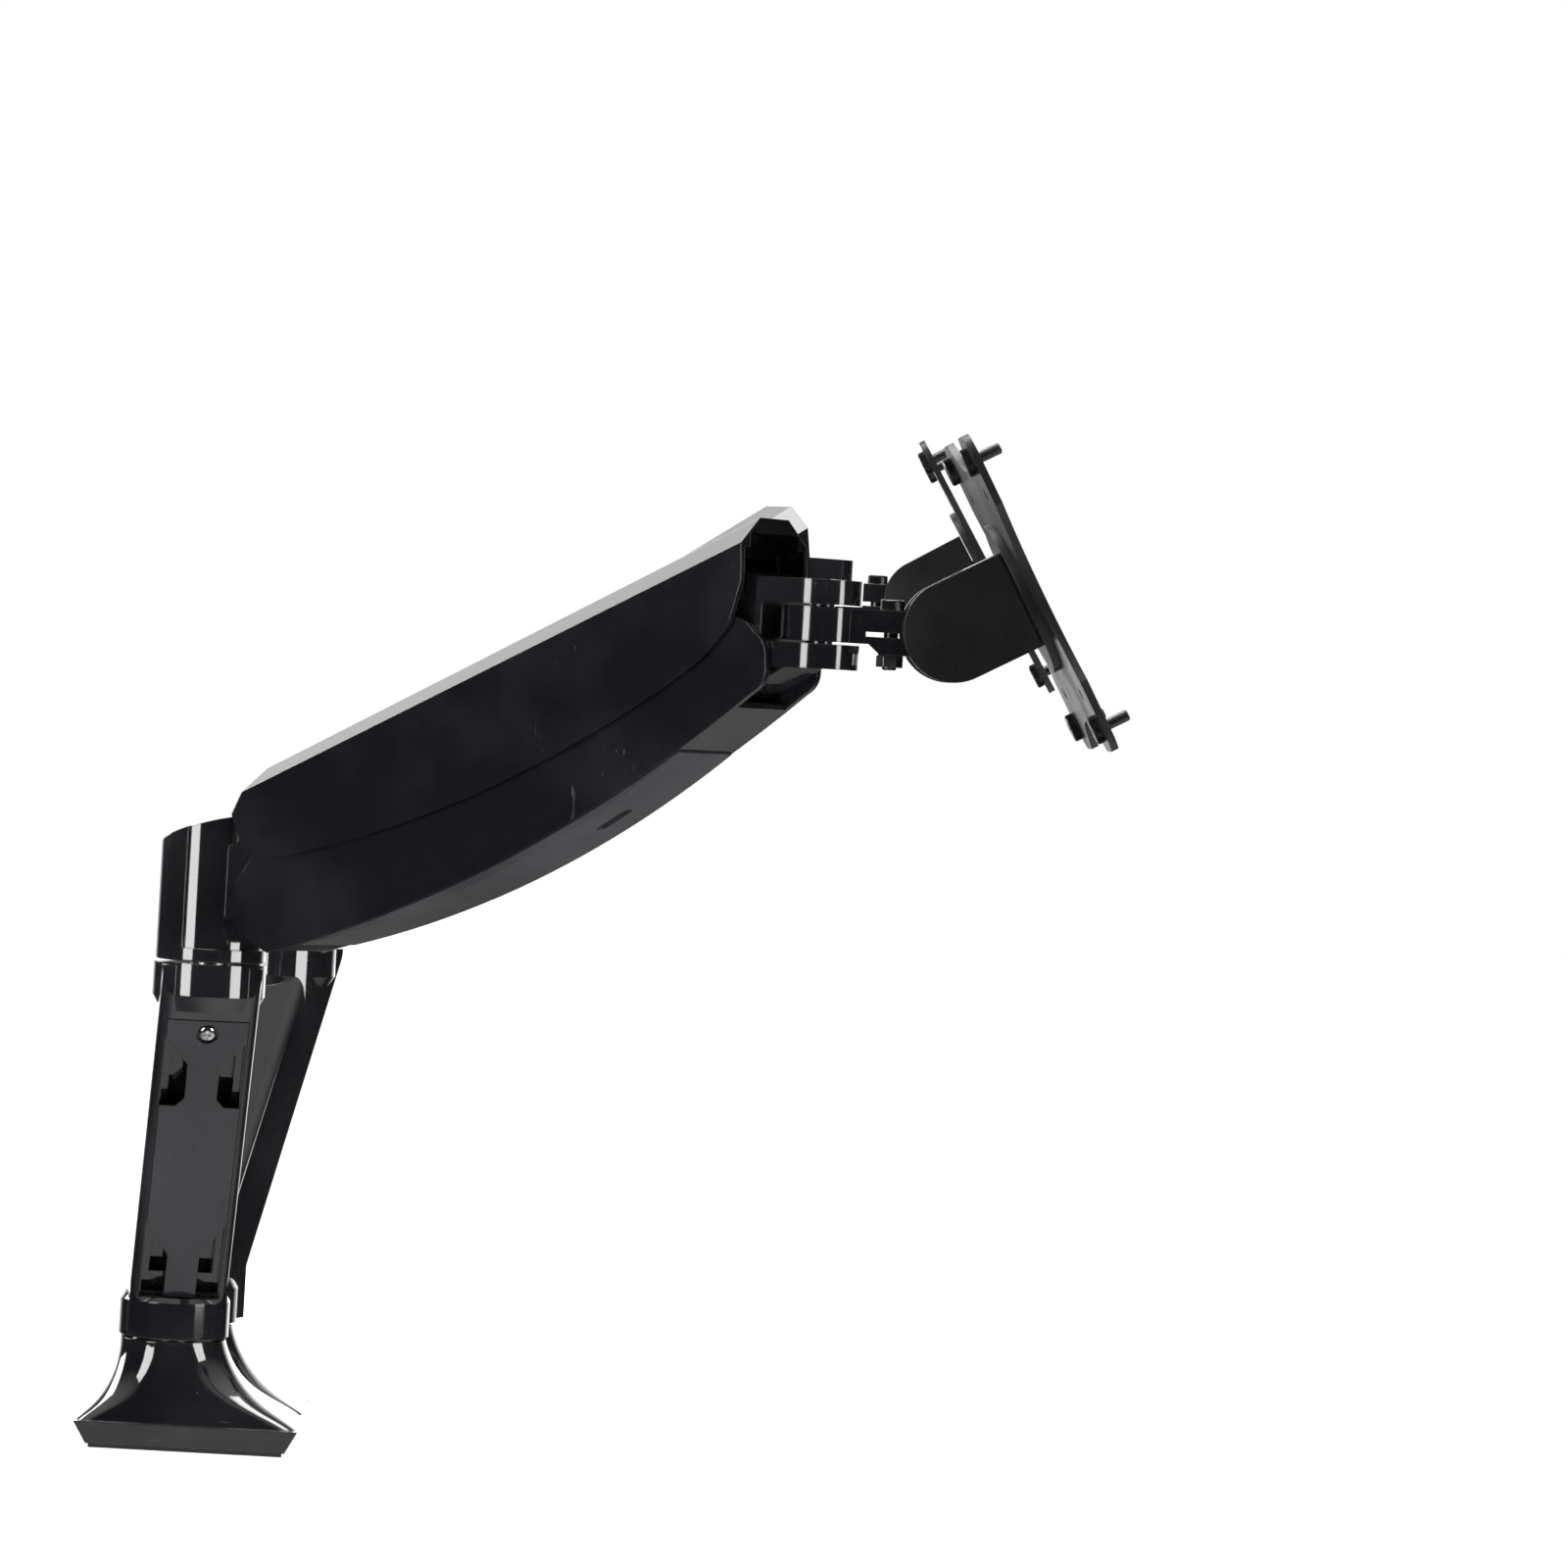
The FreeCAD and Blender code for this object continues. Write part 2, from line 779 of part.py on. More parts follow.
def bottom_cover(side, frame):
    """Shell that swells out of the lower link's belly, with a cable slot in its front half."""
    body = new_body(f"{side}_bottom_cover", frame)
    shell = new_sketch(body, "XZ_Plane")
    start, end = S.bottom_cover_start, S.bottom_cover_end
    draw(shell, [(start, -22.9), (end, -19.2, S.bottom_cover_bulge), (end, -10), (start, -10)])
    pad(body, shell, S.bottom_cover_width, symmetric=True)
    above = new_sketch(body, "XZ_Plane")
    front = S.arm_length + 13
    draw(above, [(-2, -20), (front, -11, S.lower_link_belly), (front, 30), (-2, 30)])
    cut(body, above, S.bottom_cover_width * 2)
    slot = new_sketch(body, "XY_Plane", -10)
    draw(slot, rounded(as_size(146), as_size(162), as_size(-2.5), as_size(2.5), 2.4))
    cut(body, slot, 60, symmetric=False)


def gas_cylinder(side, frame):
    """Cylinder with its end eye and the cross pin through the lower link's walls."""
    body = new_body(f"{side}_gas_cylinder", frame)
    start, end = S.cylinder_start, S.cylinder_end
    can = new_sketch(body, "YZ_Plane", start)
    draw_circle(can, 0, S.spring_height, S.cylinder_radius)
    pad(body, can, end - start)
    eye = new_sketch(body, "XZ_Plane")
    x, z, r = S.spring_length, S.spring_height, as_size(5.5)
    bend = r * CORNER_RISE
    draw(eye, [(x, z - r), (x + r, z, bend), (x, z + r, bend), (end - 2, z + r), (end - 2, z - r)])
    pad(body, eye, 10, symmetric=True)
    pin = new_sketch(body, "XZ_Plane")
    draw_circle(pin, x, z, S.spring_pin_radius)
    pad(body, pin, blind_width() - 0.1, symmetric=True)
    bore = new_sketch(body, "YZ_Plane", start)
    draw_circle(bore, 0, z, S.rod_radius + S.running_fit)
    cut(body, bore, S.rod_bore_depth, symmetric=False, back=True)


def gas_rod(side, frame, anchor):
    """Rod with a slotted eye; the slot takes up the small rise and fall of the rear anchor."""
    place = shifted(frame, anchor, 0, S.spring_height)
    body = new_body(f"{side}_gas_rod", place)
    eye = new_sketch(body, "XZ_Plane")
    draw(eye, rounded(as_size(-7), as_size(9), as_size(-7), as_size(7), 5))
    pad(body, eye, 9, symmetric=True)
    rod = new_sketch(body, "YZ_Plane", 7)
    draw_circle(rod, 0, 0, S.rod_radius)
    pad(body, rod, S.cylinder_start - anchor - 7 + S.rod_inside)
    slot = new_sketch(body, "XZ_Plane")
    pin = S.spring_pin_radius
    draw(slot, rounded(-pin - 1.1, pin + 1.1, -pin - 2.5, pin + 2.5, 2))
    cut(body, slot, 30)


# ---------------------------------------------------------------- upper link and top cover


def upper_link(side, frame):
    body = new_body(f"{side}_upper_link", frame)
    roof, deep, end = S.upper_link_roof, S.upper_link_depth, S.arm_length + 6
    wall = new_sketch(body, "XZ_Plane")
    draw(wall, [(-6.5, -deep), (end, -deep), (end, roof), (0, roof), (-6.5, 3)])
    pad(body, wall, S.upper_link_width, symmetric=True)
    inside = new_sketch(body, "XZ_Plane")
    ceiling = roof - S.link_wall / 2 + 0.3
    draw(inside, [(-30, -40), (end + 30, -40), (end + 30, ceiling), (-30, ceiling)])
    cut(body, inside, S.lug_width + S.gap * 2)
    front = new_sketch(body, "XZ_Plane")
    mouth = S.arm_length - S.lug_radius
    draw(front, [(mouth, -40), (end + 30, -40), (end + 30, 40), (mouth, 40)])
    cut(body, front, S.lug_width + S.gap * 2)
    bores = new_sketch(body, "XZ_Plane")
    draw_circle(bores, 0, 0, S.pin_radius + S.running_fit)
    draw_circle(bores, S.arm_length, 0, S.pin_radius + S.running_fit)
    cut(body, bores, S.upper_link_width * 2)
    screws = new_sketch(body, "XY_Plane")
    for x in cover_screw_places():
        draw_circle(screws, x, 0, S.cover_screw_radius)
    cut(body, screws, 30, symmetric=False, back=True)


def cover_screw_places():
    return (S.arm_length * 0.51, S.arm_length - 16)


def cover_width():
    """Outer width of the top cover, which straddles the lower link."""
    return S.lower_link_width + (S.top_cover_wall + S.cover_clearance) * 2


def top_cover(side, frame):
    body = new_body(f"{side}_top_cover", frame)
    length, wide = S.arm_length, cover_width()
    skin = new_sketch(body, "XZ_Plane")
    draw(
        skin,
        [
            (9, -18.5),
            (length - 22, -21.7, S.top_cover_belly),
            (length + 1.5, -12.5, 1.2),
            (length + 10.7, -1.5),
            (length + 18.4, 19.4),
            (4.8, 17.5),
            (-10.5, 5.2),
            (-9.8, -7.3),
            (-4.3, -13.4),
        ],
    )
    pad(body, skin, wide, symmetric=True)
    for y in (-1, 1):
        bevel = new_sketch(body, "YZ_Plane")
        out = wide / 2 + 2
        corner = [(0, 26), (out * y, 9.4), (out * y, 26)]
        draw(bevel, corner if y < 0 else corner[::-1])
        cut(body, bevel, length * 3)
    hollow = new_sketch(body, "XZ_Plane")
    roof = S.upper_link_roof
    draw(
        hollow,
        [
            (-30, -60),
            (length + 40, -60),
            (length + 40, roof),
            (-1.8, roof),
            (-9.4, 3.4),
            (-30, 3.4),
        ],
    )
    cut(body, hollow, wide - S.top_cover_wall * 2)
    mouth = new_sketch(body, "XZ_Plane")
    start, high = length + 6, roof + S.top_cover_mouth
    draw(mouth, [(start, 0), (length + 40, 0), (length + 40, high), (start, high)])
    cut(body, mouth, S.clevis_radius * 2 + 0.6)
    for start, end in ((20, length * 0.51 - 15), (length * 0.51 + 15, length - 25)):
        relief = new_sketch(body, "XZ_Plane")
        draw(relief, [(start, 0), (end, 0), (end, 15.5), (start, 15)])
        cut(body, relief, 20)
    screws = new_sketch(body, "XY_Plane")
    for x in cover_screw_places():
        draw_circle(screws, x, 0, S.cover_screw_radius)
    cut(body, screws, 15, symmetric=False, back=True)


def top_cover_screws(side, frame):
    """Screws that hold the top cover down, driven from inside the upper link."""
    screws = []
    under = S.upper_link_roof - S.link_wall / 2 + 0.3
    for index, x in enumerate(cover_screw_places()):
        place = shifted(frame, x, 0, under)
        shank = S.cover_screw_radius
        outline = [(0, -1.6), (2.8, -1.6), (2.8, 0), (shank, 0), (shank, 6), (0, 6)]
        screws.append(turned(f"{side}_top_screw_{index}", place, outline, keep=False))
    group(f"{side}_top_cover_screws", screws)


# ---------------------------------------------------------------- clevis


def front_bracket(side, frame):
    """Lug for the links' front pins, and the clevis for the swivel pin. Origin midway between the pins."""
    body = new_body(f"{side}_front_bracket", frame)
    half, r = S.pivot_spacing / 2, S.lug_radius
    root = S.clevis_reach - S.clevis_radius - 5.5
    lug = new_sketch(body, "XZ_Plane")
    draw(
        lug,
        [
            (0, -half - r, r * CORNER_RISE),
            (root + 1, -half - r + 6),
            (root + 12, -half + 4),
            (root + 12, half + 3),
            (0, half + r),
            (-r, half, r * CORNER_RISE),
            (-r, -half),
        ],
    )
    pad(body, lug, S.lug_width, symmetric=True)
    low = S.clevis_lift - S.clevis_gap / 2 - S.clevis_ear
    high = S.clevis_lift + S.clevis_gap / 2 + S.clevis_ear
    ears = new_sketch(body, "XY_Plane", low)
    wide = S.clevis_radius
    pin_x = S.clevis_reach
    bend = wide * CORNER_RISE
    draw(ears, [(root, -wide), (pin_x, -wide), (pin_x + wide, 0, bend), (pin_x, wide, bend), (root, wide)])
    pad(body, ears, high - low)
    mouth = new_sketch(body, "XZ_Plane")
    back = root + S.clevis_root
    bottom, top = S.clevis_lift - S.clevis_gap / 2, S.clevis_lift + S.clevis_gap / 2
    draw(mouth, rounded(back, pin_x + wide * 2, bottom, top, 2))
    cut(body, mouth, wide * 4)
    bores = new_sketch(body, "XZ_Plane")
    for z in (-1, 1):
        draw_circle(bores, 0, half * z, S.pin_radius)
    cut(body, bores, S.lug_width * 2)
    bore = new_sketch(body, "XY_Plane")
    draw_circle(bore, pin_x, 0, S.pin_radius)
    cut(body, bore, 100)


def swivel_pin(side, frame):
    half = S.clevis_gap / 2 + S.clevis_ear
    plain_pin(f"{side}_swivel_pin", frame, S.pin_radius, -half, half)


# ---------------------------------------------------------------- tongue with tilt clamp


def tongue(side, frame):
    """Swivels on the clevis pin and clamps the tilt axle: its front eye is split below the middle."""
    body = new_body(f"{side}_swivel_tongue", frame)
    half, reach, eye = S.tongue_thick / 2, S.head_reach, S.tilt_eye_radius
    disc = new_sketch(body, "XY_Plane", -half)
    draw_circle(disc, 0, 0, S.tongue_radius)
    pad(body, disc, S.tongue_thick)
    bolt = S.clamp_bolt_reach
    arm = new_sketch(body, "XZ_Plane")
    draw(
        arm,
        [
            (0, -half),
            (bolt - 8, -half),
            (bolt - 4, -eye),
            (reach, -eye),
            (reach, half),
            (0, half),
        ],
    )
    pad(body, arm, S.tongue_width, symmetric=True)
    ring = new_sketch(body, "XZ_Plane")
    draw_circle(ring, reach, 0, eye)
    pad(body, ring, S.tongue_width, symmetric=True)
    slit = new_sketch(body, "XZ_Plane")
    low, high = as_size(-3.4), S.clamp_slit - 3.4
    draw(slit, [(bolt - 9, low), (reach, low), (reach, high), (bolt - 9, high)])
    cut(body, slit, S.tongue_width * 2)
    axle = new_sketch(body, "XZ_Plane")
    draw_circle(axle, reach, 0, S.axle_radius + S.running_fit)
    cut(body, axle, S.tongue_width * 2)
    bores = new_sketch(body, "XY_Plane")
    draw_circle(bores, 0, 0, S.pin_radius + S.running_fit)
    draw_circle(bores, bolt, 0, S.clamp_bolt_radius)
    cut(body, bores, 100)


def clamp_bolt(side, frame):
    """Hex-socket bolt that closes the split eye."""
    place = shifted(frame, S.clamp_bolt_reach, 0, S.tongue_thick / 2)
    shank, head = S.clamp_bolt_radius, as_size(4.2)
    outline = [
        (0, -20.5),
        (shank - 0.4, -20.5),
        (shank, -20),
        (shank, 0),
        (head, 0),
        (head, 3.2),
        (head - 0.5, 3.8),
        (2, 3.8),
        (2, 1.6),
        (0, 1.6),
    ]
    turned(f"{side}_clamp_bolt", place, outline)


def clamp_nut(side, frame):
    place = shifted(frame, S.clamp_bolt_reach, 0, -S.tilt_eye_radius - 4)
    body = new_body(f"{side}_clamp_nut", place)
    hexagon = new_sketch(body, "XY_Plane")
    across = as_size(8)
    corner, flat = across / math.sqrt(3), across / 2
    draw(
        hexagon,
        [
            (corner, 0),
            (corner / 2, flat),
            (-corner / 2, flat),
            (-corner, 0),
            (-corner / 2, -flat),
            (corner / 2, -flat),
        ],
    )
    draw_circle(hexagon, 0, 0, S.clamp_bolt_radius)
    pad(body, hexagon, 4)


# ---------------------------------------------------------------- tilt head and screen plate


def tilt_axle(side, frame):
    half = S.housing_width / 2 - 2
    place = shifted(frame, 0, 0, 0, ACROSS)
    plain_pin(f"{side}_tilt_axle", place, S.axle_radius, -half, half, 0.6)


def tilt_housing(side, frame):
    body = new_body(f"{side}_tilt_housing", frame)
    r, deep = S.housing_radius, S.housing_depth
    shell = new_sketch(body, "XZ_Plane")
    bend = r * CORNER_RISE
    draw(shell, [(0, -r, bend), (deep, -r), (deep, r), (0, r), (-r, 0, bend)])
    pad(body, shell, S.housing_width, symmetric=True)
    mouth = new_sketch(body, "XZ_Plane")
    floor = S.tilt_eye_radius + 3.5
    draw(mouth, [(-50, -50), (floor, -50), (floor, 50), (-50, 50)])
    cut(body, mouth, S.tongue_width + S.gap * 2)
    axle = new_sketch(body, "XZ_Plane")
    draw_circle(axle, 0, 0, S.axle_radius)
    cut(body, axle, S.housing_width - 4)
    hub = new_sketch(body, "YZ_Plane", deep)
    draw_circle(hub, 0, 0, S.hub_radius + S.running_fit)
    cut(body, hub, 10, symmetric=False)


def rotation_disc(side, frame):
    """Friction disc with the hub that turns in the housing."""
    place = shifted(frame, S.housing_depth, 0, 0, FORWARD)
    start = as_size(0.3)
    outline = [
        (0, -9),
        (S.hub_radius, -9),
        (S.hub_radius, start),
        (S.disc_radius, start),
        (S.disc_radius, S.disc_thick),
        (0, S.disc_thick),
    ]
    turned(f"{side}_rotation_disc", place, outline)


def vesa_plate(side, frame):
    body = new_body(f"{side}_vesa_plate", frame)
    seat = S.housing_depth + S.disc_thick
    half = S.plate_size / 2
    sheet_metal = new_sketch(body, "YZ_Plane", seat)
    draw(sheet_metal, plate_outline(half))
    for pitch, radius in ((S.vesa_large, S.vesa_shoulder_radius), (S.vesa_small, as_size(2.3))):
        for y in (-1, 1):
            for z in (-1, 1):
                draw_circle(sheet_metal, pitch / 2 * y, pitch / 2 * z, radius)
    pad(body, sheet_metal, S.plate_thick)


def plate_outline(half):
    """Square with round corners whose four sides curve in between the corner pads."""
    corner, side, bow = S.plate_corner, half * 0.56, S.plate_waist
    quarter = [
        (half, -side),
        (half, side, -bow),
        (half, half - corner),
        (half - corner, half, corner * CORNER_RISE),
    ]
    outline = []
    for _ in range(4):
        outline += quarter
        quarter = [(-vertex[1], vertex[0], *vertex[2:]) for vertex in quarter]
    return outline


def vesa_screws(side, frame):
    """Four thumb screws for the screen, heads toward the arm."""
    screws = []
    seat = S.housing_depth + S.disc_thick
    shank, head = S.vesa_screw_radius, S.vesa_head_radius
    out = S.plate_thick + S.vesa_screw_out
    for y in (-1, 1):
        for z in (-1, 1):
            place = shifted(frame, seat, S.vesa_large / 2 * y, S.vesa_large / 2 * z, FORWARD)
            outline = [
                (0, -S.vesa_head_thick),
                (head - 0.5, -S.vesa_head_thick),
                (head, 0.5 - S.vesa_head_thick),
                (head, 0),
                (S.vesa_shoulder_radius, 0),
                (S.vesa_shoulder_radius, S.plate_thick),
                (shank, S.plate_thick),
                (shank, out),
                (0, out),
            ]
            screws.append(turned(f"{side}_vesa_screw_{y + 1}{z + 1}", place, outline, keep=False))
    group(f"{side}_vesa_screws", screws)


# ---------------------------------------------------------------- one whole arm in its drawn pose


def heading(frame_point, degrees, pitch=0):
    """A frame at a point, turned in plan and then pitched up."""
    turn = Rotation(Vector(0, 0, 1), degrees).multiply(Rotation(Vector(0, 1, 0), -pitch))
    return Placement(frame_point, turn)


def arm(side, sign):
    pose = {key: getattr(S, f"{side}_{key}").value for key in POSE}
    neck = Vector(0, (S.neck_spacing / 2 * sign).value, S.neck_height.value)
    lower = heading(neck, pose["lower_heading"])
    elbow_point = lower.multVec(Vector(S.lower_reach.value, 0, S.lower_rise.value))
    elbow = heading(elbow_point, pose["arm_heading"])
    rear_low = elbow.multVec(Vector(S.pivot_reach.value, 0, S.pivot_low.value))
    rise = Vector(0, 0, S.pivot_spacing.value)
    low_link = heading(rear_low, pose["arm_heading"], pose["lift"])
    high_link = heading(rear_low + rise, pose["arm_heading"], pose["lift"])
    front_low = low_link.multVec(Vector(S.arm_length.value, 0, 0))
    bracket = heading(front_low + rise / 2, pose["arm_heading"])
    pin_point = bracket.multVec(Vector(S.clevis_reach.value, 0, S.clevis_lift.value))
    head = heading(pin_point, pose["head_heading"])
    tilt_point = head.multVec(Vector(S.head_reach.value, 0, 0))
    screen = heading(tilt_point, pose["head_heading"], pose["tilt"])

    lower_arm(side, lower)
    cable_cover(side, lower)
    cable_cover_screw(side, lower)
    base_bush(side, lower)
    elbow_post(side, lower)
    knuckle(side, elbow)
    elbow_bush(side, elbow)
    wide, narrow = blind_width() / 2 - 0.05, S.upper_link_width / 2
    link_pins(f"{side}_rear_pins", elbow, S.pivot_reach, S.pivot_low, wide, narrow)
    spring_rear_pin(side, elbow)
    lower_link(side, low_link)
    bottom_cover(side, low_link)
    gas_cylinder(side, low_link)
    anchor = S.spring_anchor * math.sin(math.radians(pose["lift"]))
    gas_rod(side, low_link, anchor)
    upper_link(side, high_link)
    top_cover(side, high_link)
    top_cover_screws(side, high_link)
    front_bracket(side, bracket)
    link_pins(f"{side}_front_pins", bracket, 0, -S.pivot_spacing / 2, wide, narrow)
    swivel_pin(side, head)
    tongue(side, head)
    clamp_bolt(side, head)
    clamp_nut(side, head)
    tilt_axle(side, screen)
    tilt_housing(side, screen)
    rotation_disc(side, screen)
    vesa_plate(side, screen)
    vesa_screws(side, screen)


POSE = ("lower_heading", "arm_heading", "lift", "head_heading", "tilt")

base_casting()
base_pad()
neck_posts()
arm("near", -1)
arm("far", 1)
doc.recompute()

for thing in doc.Objects:
    if "Invalid" in thing.State or "Error" in thing.State:
        raise RuntimeError(f"{thing.Label} did not recompute: {thing.State}")
for part in parts:
    if part.Shape.isNull() or not part.Shape.isValid():
        raise RuntimeError(f"{part.Label} has no valid shape")

os.makedirs("parts", exist_ok=True)
for part in parts:
    part.Shape.exportStep(f"parts/{part.Label}.step")
print(len(parts), "sub-parts")
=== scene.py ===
import json
import math

import bmesh
import bpy
import numpy as np
from mathutils import Matrix, Vector


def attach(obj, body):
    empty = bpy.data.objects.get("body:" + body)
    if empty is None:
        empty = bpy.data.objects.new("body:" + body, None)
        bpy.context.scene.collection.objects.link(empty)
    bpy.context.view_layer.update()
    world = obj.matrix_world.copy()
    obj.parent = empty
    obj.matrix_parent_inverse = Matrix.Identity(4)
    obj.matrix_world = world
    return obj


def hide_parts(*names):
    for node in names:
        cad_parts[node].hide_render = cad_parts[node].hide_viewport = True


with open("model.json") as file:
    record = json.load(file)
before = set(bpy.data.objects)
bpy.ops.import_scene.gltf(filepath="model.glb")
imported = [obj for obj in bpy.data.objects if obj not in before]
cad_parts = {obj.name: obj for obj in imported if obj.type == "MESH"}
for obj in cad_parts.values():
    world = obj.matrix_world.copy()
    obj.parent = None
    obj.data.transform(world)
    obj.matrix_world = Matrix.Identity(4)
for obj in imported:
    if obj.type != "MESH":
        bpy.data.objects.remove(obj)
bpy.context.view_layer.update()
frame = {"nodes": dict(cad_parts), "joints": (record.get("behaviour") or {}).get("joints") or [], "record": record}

bl_info = {
    "name": "Monitor arm finish",
    "version": (1, 0, 0),
    "blender": (4, 5, 0),
    "location": "View3D > Sidebar > Monitor arm",
    "description": "Finishes, fasteners, seams and studio for a dual gas-spring monitor arm",
    "category": "Object",
}

SIDES = ("near", "far")
MM = 0.001
SEAM_LIFT = 0.04 * MM
CAMERA_PLACE = (0.1424, -2.483, 0.3025)
CAMERA_TURNS = (1.83, -0.86, 3.34)
CAMERA_LENS = 147.4
RECORD = frame["record"]
JOINTS = {joint["name"]: joint for joint in frame["joints"]}
MOUNTS = {mount["name"]: mount for mount in RECORD["mounts"]}


# ---------------------------------------------------------------- sizes and colours


def colour(name, description, default):
    return bpy.props.FloatVectorProperty(
        name=name, description=description, default=default, size=3, min=0, max=1, subtype="COLOR"
    )


def length(name, description, default):
    return bpy.props.FloatProperty(
        name=name, description=description, default=default, min=0, unit="LENGTH", subtype="DISTANCE"
    )


def factor(name, description, default, top=1.0):
    return bpy.props.FloatProperty(name=name, description=description, default=default, min=0, max=top)


class ArmFinish(bpy.types.PropertyGroup):
    lacquer: colour("Lacquer", "Piano black of arms and covers", (0.0042, 0.0044, 0.0055))
    satin: colour("Satin black", "Moulded cable covers and clevis parts", (0.0075, 0.0078, 0.0095))
    cover_grey: colour("Cover grey", "Textured plastic under the upper arms", (0.014, 0.0145, 0.0165))
    powder: colour("Powder coat", "Sheet steel of the screen plates", (0.0045, 0.0045, 0.005))
    steel: colour("Steel", "Machined pins and bolts", (0.42, 0.42, 0.43))
    chrome: colour("Chrome", "Screws and gas rods", (0.78, 0.78, 0.80))
    acetal: colour("Acetal", "Bearing bushes", (0.70, 0.69, 0.65))
    rubber: colour("Rubber", "Pad under the foot", (0.013, 0.013, 0.013))
    edge_round: length("Edge rounding", "Radius that the finish gives to crisp edges", 0.0007)
    smudge: factor("Smudge", "How much handling marks vary the gloss", 0.35)


class ArmFasteners(bpy.types.PropertyGroup):
    cross_width: length("Cross width", "Width of a cross recess wing", 0.00085)
    cross_reach: length("Cross reach", "Half length of a cross recess wing", 0.0019)
    cross_depth: length("Cross depth", "Depth of a cross recess", 0.0012)
    socket_width: length("Socket width", "Across flats of a hexagon socket", 0.004)
    socket_depth: length("Socket depth", "Depth of a hexagon socket", 0.0021)
    knurl_depth: length("Knurl depth", "Depth of the grooves round knurled heads", 0.00022)
    seam_ring: length("Seam ring", "Radial width of the dark ring in a swivel seam", 0.0032)


class ArmStudio(bpy.types.PropertyGroup):
    backdrop: factor("Backdrop", "Brightness behind the object", 1.0, 4)
    floor_size: length("Floor size", "Half width of the pale floor", 6.0)
    rear_glow: factor("Rear glow", "Brightness behind the object in reflections", 2.6, 4)
    strip_power: factor("Strip power", "Power of the tall side lights in watts", 26, 500)
    roof_power: factor("Roof power", "Power of the large light overhead in watts", 42, 500)


# ---------------------------------------------------------------- meshes from whole arrays


def grid_faces(rows, columns, wrap):
    """Quads of a rows by columns grid, joined round in the column direction when wrap is true."""
    i, j = np.meshgrid(np.arange(rows - 1), np.arange(columns if wrap else columns - 1), indexing="ij")
    row, above, k = i * columns, (i + 1) * columns, (j + 1) % columns
    return np.stack([row + j, row + k, above + k, above + j], -1).reshape(-1, 4)


def surface(name, patches, crease=35):
    """One object from patches of points (rows, columns, 3), each (points, wrapped). Doubles are merged, and
    faces turned outward; edges sharper than the crease angle stay sharp."""
    points, faces, start = [], [], 0
    for grid, wrap in patches:
        rows, columns = grid.shape[:2]
        points.append(grid.reshape(-1, 3))
        faces.append(grid_faces(rows, columns, wrap) + start)
        start += rows * columns
    points, faces = np.concatenate(points), np.concatenate(faces)
    mesh = bpy.data.meshes.new(name)
    mesh.vertices.add(len(points))
    mesh.vertices.foreach_set("co", points.astype(np.float32).ravel())
    mesh.loops.add(faces.size)
    mesh.loops.foreach_set("vertex_index", faces.astype(np.int32).ravel())
    mesh.polygons.add(len(faces))
    mesh.polygons.foreach_set("loop_start", np.arange(0, faces.size, 4, dtype=np.int32))
    mesh.update(calc_edges=True)
    shape = bmesh.new()
    shape.from_mesh(mesh)
    bmesh.ops.remove_doubles(shape, verts=shape.verts, dist=2e-7)
    bmesh.ops.dissolve_degenerate(shape, edges=shape.edges, dist=1e-8)
    bmesh.ops.recalc_face_normals(shape, faces=shape.faces)
    shape.to_mesh(mesh)
    shape.free()
    mesh.polygons.foreach_set("use_smooth", np.ones(len(mesh.polygons), bool))
    mesh.set_sharp_from_angle(angle=math.radians(crease))
    piece = bpy.data.objects.new(name, mesh)
    bpy.context.scene.collection.objects.link(piece)
    return piece


def lathe(profile, steps=96):
    """Surface of revolution: the point at (radius, height) of the profile, carried round Z by angle t, is
    (radius cos t, radius sin t, height). The profile starts and ends on the axis, so the form is closed."""
    profile = np.asarray(profile, float)
    t = np.linspace(0, 2 * math.pi, steps, endpoint=False)
    r, z = profile[:, :1], profile[:, 1:]
    return np.stack([r * np.cos(t), r * np.sin(t), z + 0 * t], -1)


def densify(profile, step):
    """Adds points along a profile's straight runs so that none is longer than step."""
    profile = np.asarray(profile, float)
    runs = np.linalg.norm(np.diff(profile, axis=0), axis=1)
    counts = np.maximum(1, np.ceil(runs / step).astype(int))
    where = np.concatenate([i + np.arange(n) / n for i, n in enumerate(counts)] + [[len(runs)]])
    return np.stack([np.interp(where, np.arange(len(profile)), profile[:, k]) for k in (0, 1)], -1)


def placed(grid, matrix):
    """The grid's points carried by a 4x4 matrix."""
    matrix = np.array(matrix)
    return grid @ matrix[:3, :3].T + matrix[:3, 3]


def smooth_step(x, low, high):
    s = np.clip((x - low) / (high - low), 0, 1)
    return s * s * (3 - 2 * s)


def cross_recess(grid, top, width, reach, depth):
    """Pushes a cross into the head: two wings at right angles, each as wide as width and as long as twice
    reach, deepest in the middle; only points near the top of the head move."""
    x, y, z = np.moveaxis(grid, -1, 0)
    wings = [
        (1 - smooth_step(abs(a), width * 0.42, width * 0.58))
        * (1 - smooth_step(abs(b), reach * 0.85, reach))
        for a, b in ((x, y), (y, x))
    ]
    sunk = np.maximum(*wings) * (1 - 0.45 * np.hypot(x, y) / reach)
    near_top = smooth_step(z, top - 1.3 * MM, top - 0.9 * MM)
    return np.stack([x, y, z - depth * sunk * near_top], -1)


def knurled(grid, low, high, radius, depth, ribs):
    """Straight knurl: between two heights the radius shrinks by depth times the square of a cosine that runs
    ribs times round."""
    x, y, z = np.moveaxis(grid, -1, 0)
    r, t = np.hypot(x, y), np.arctan2(y, x)
    band = (z > low) & (z < high) & (r > radius * 0.97)
    shrink = np.where(band, 1 - depth / radius * np.cos(t * ribs / 2) ** 2, 1)
    return np.stack([x * shrink, y * shrink, z], -1)


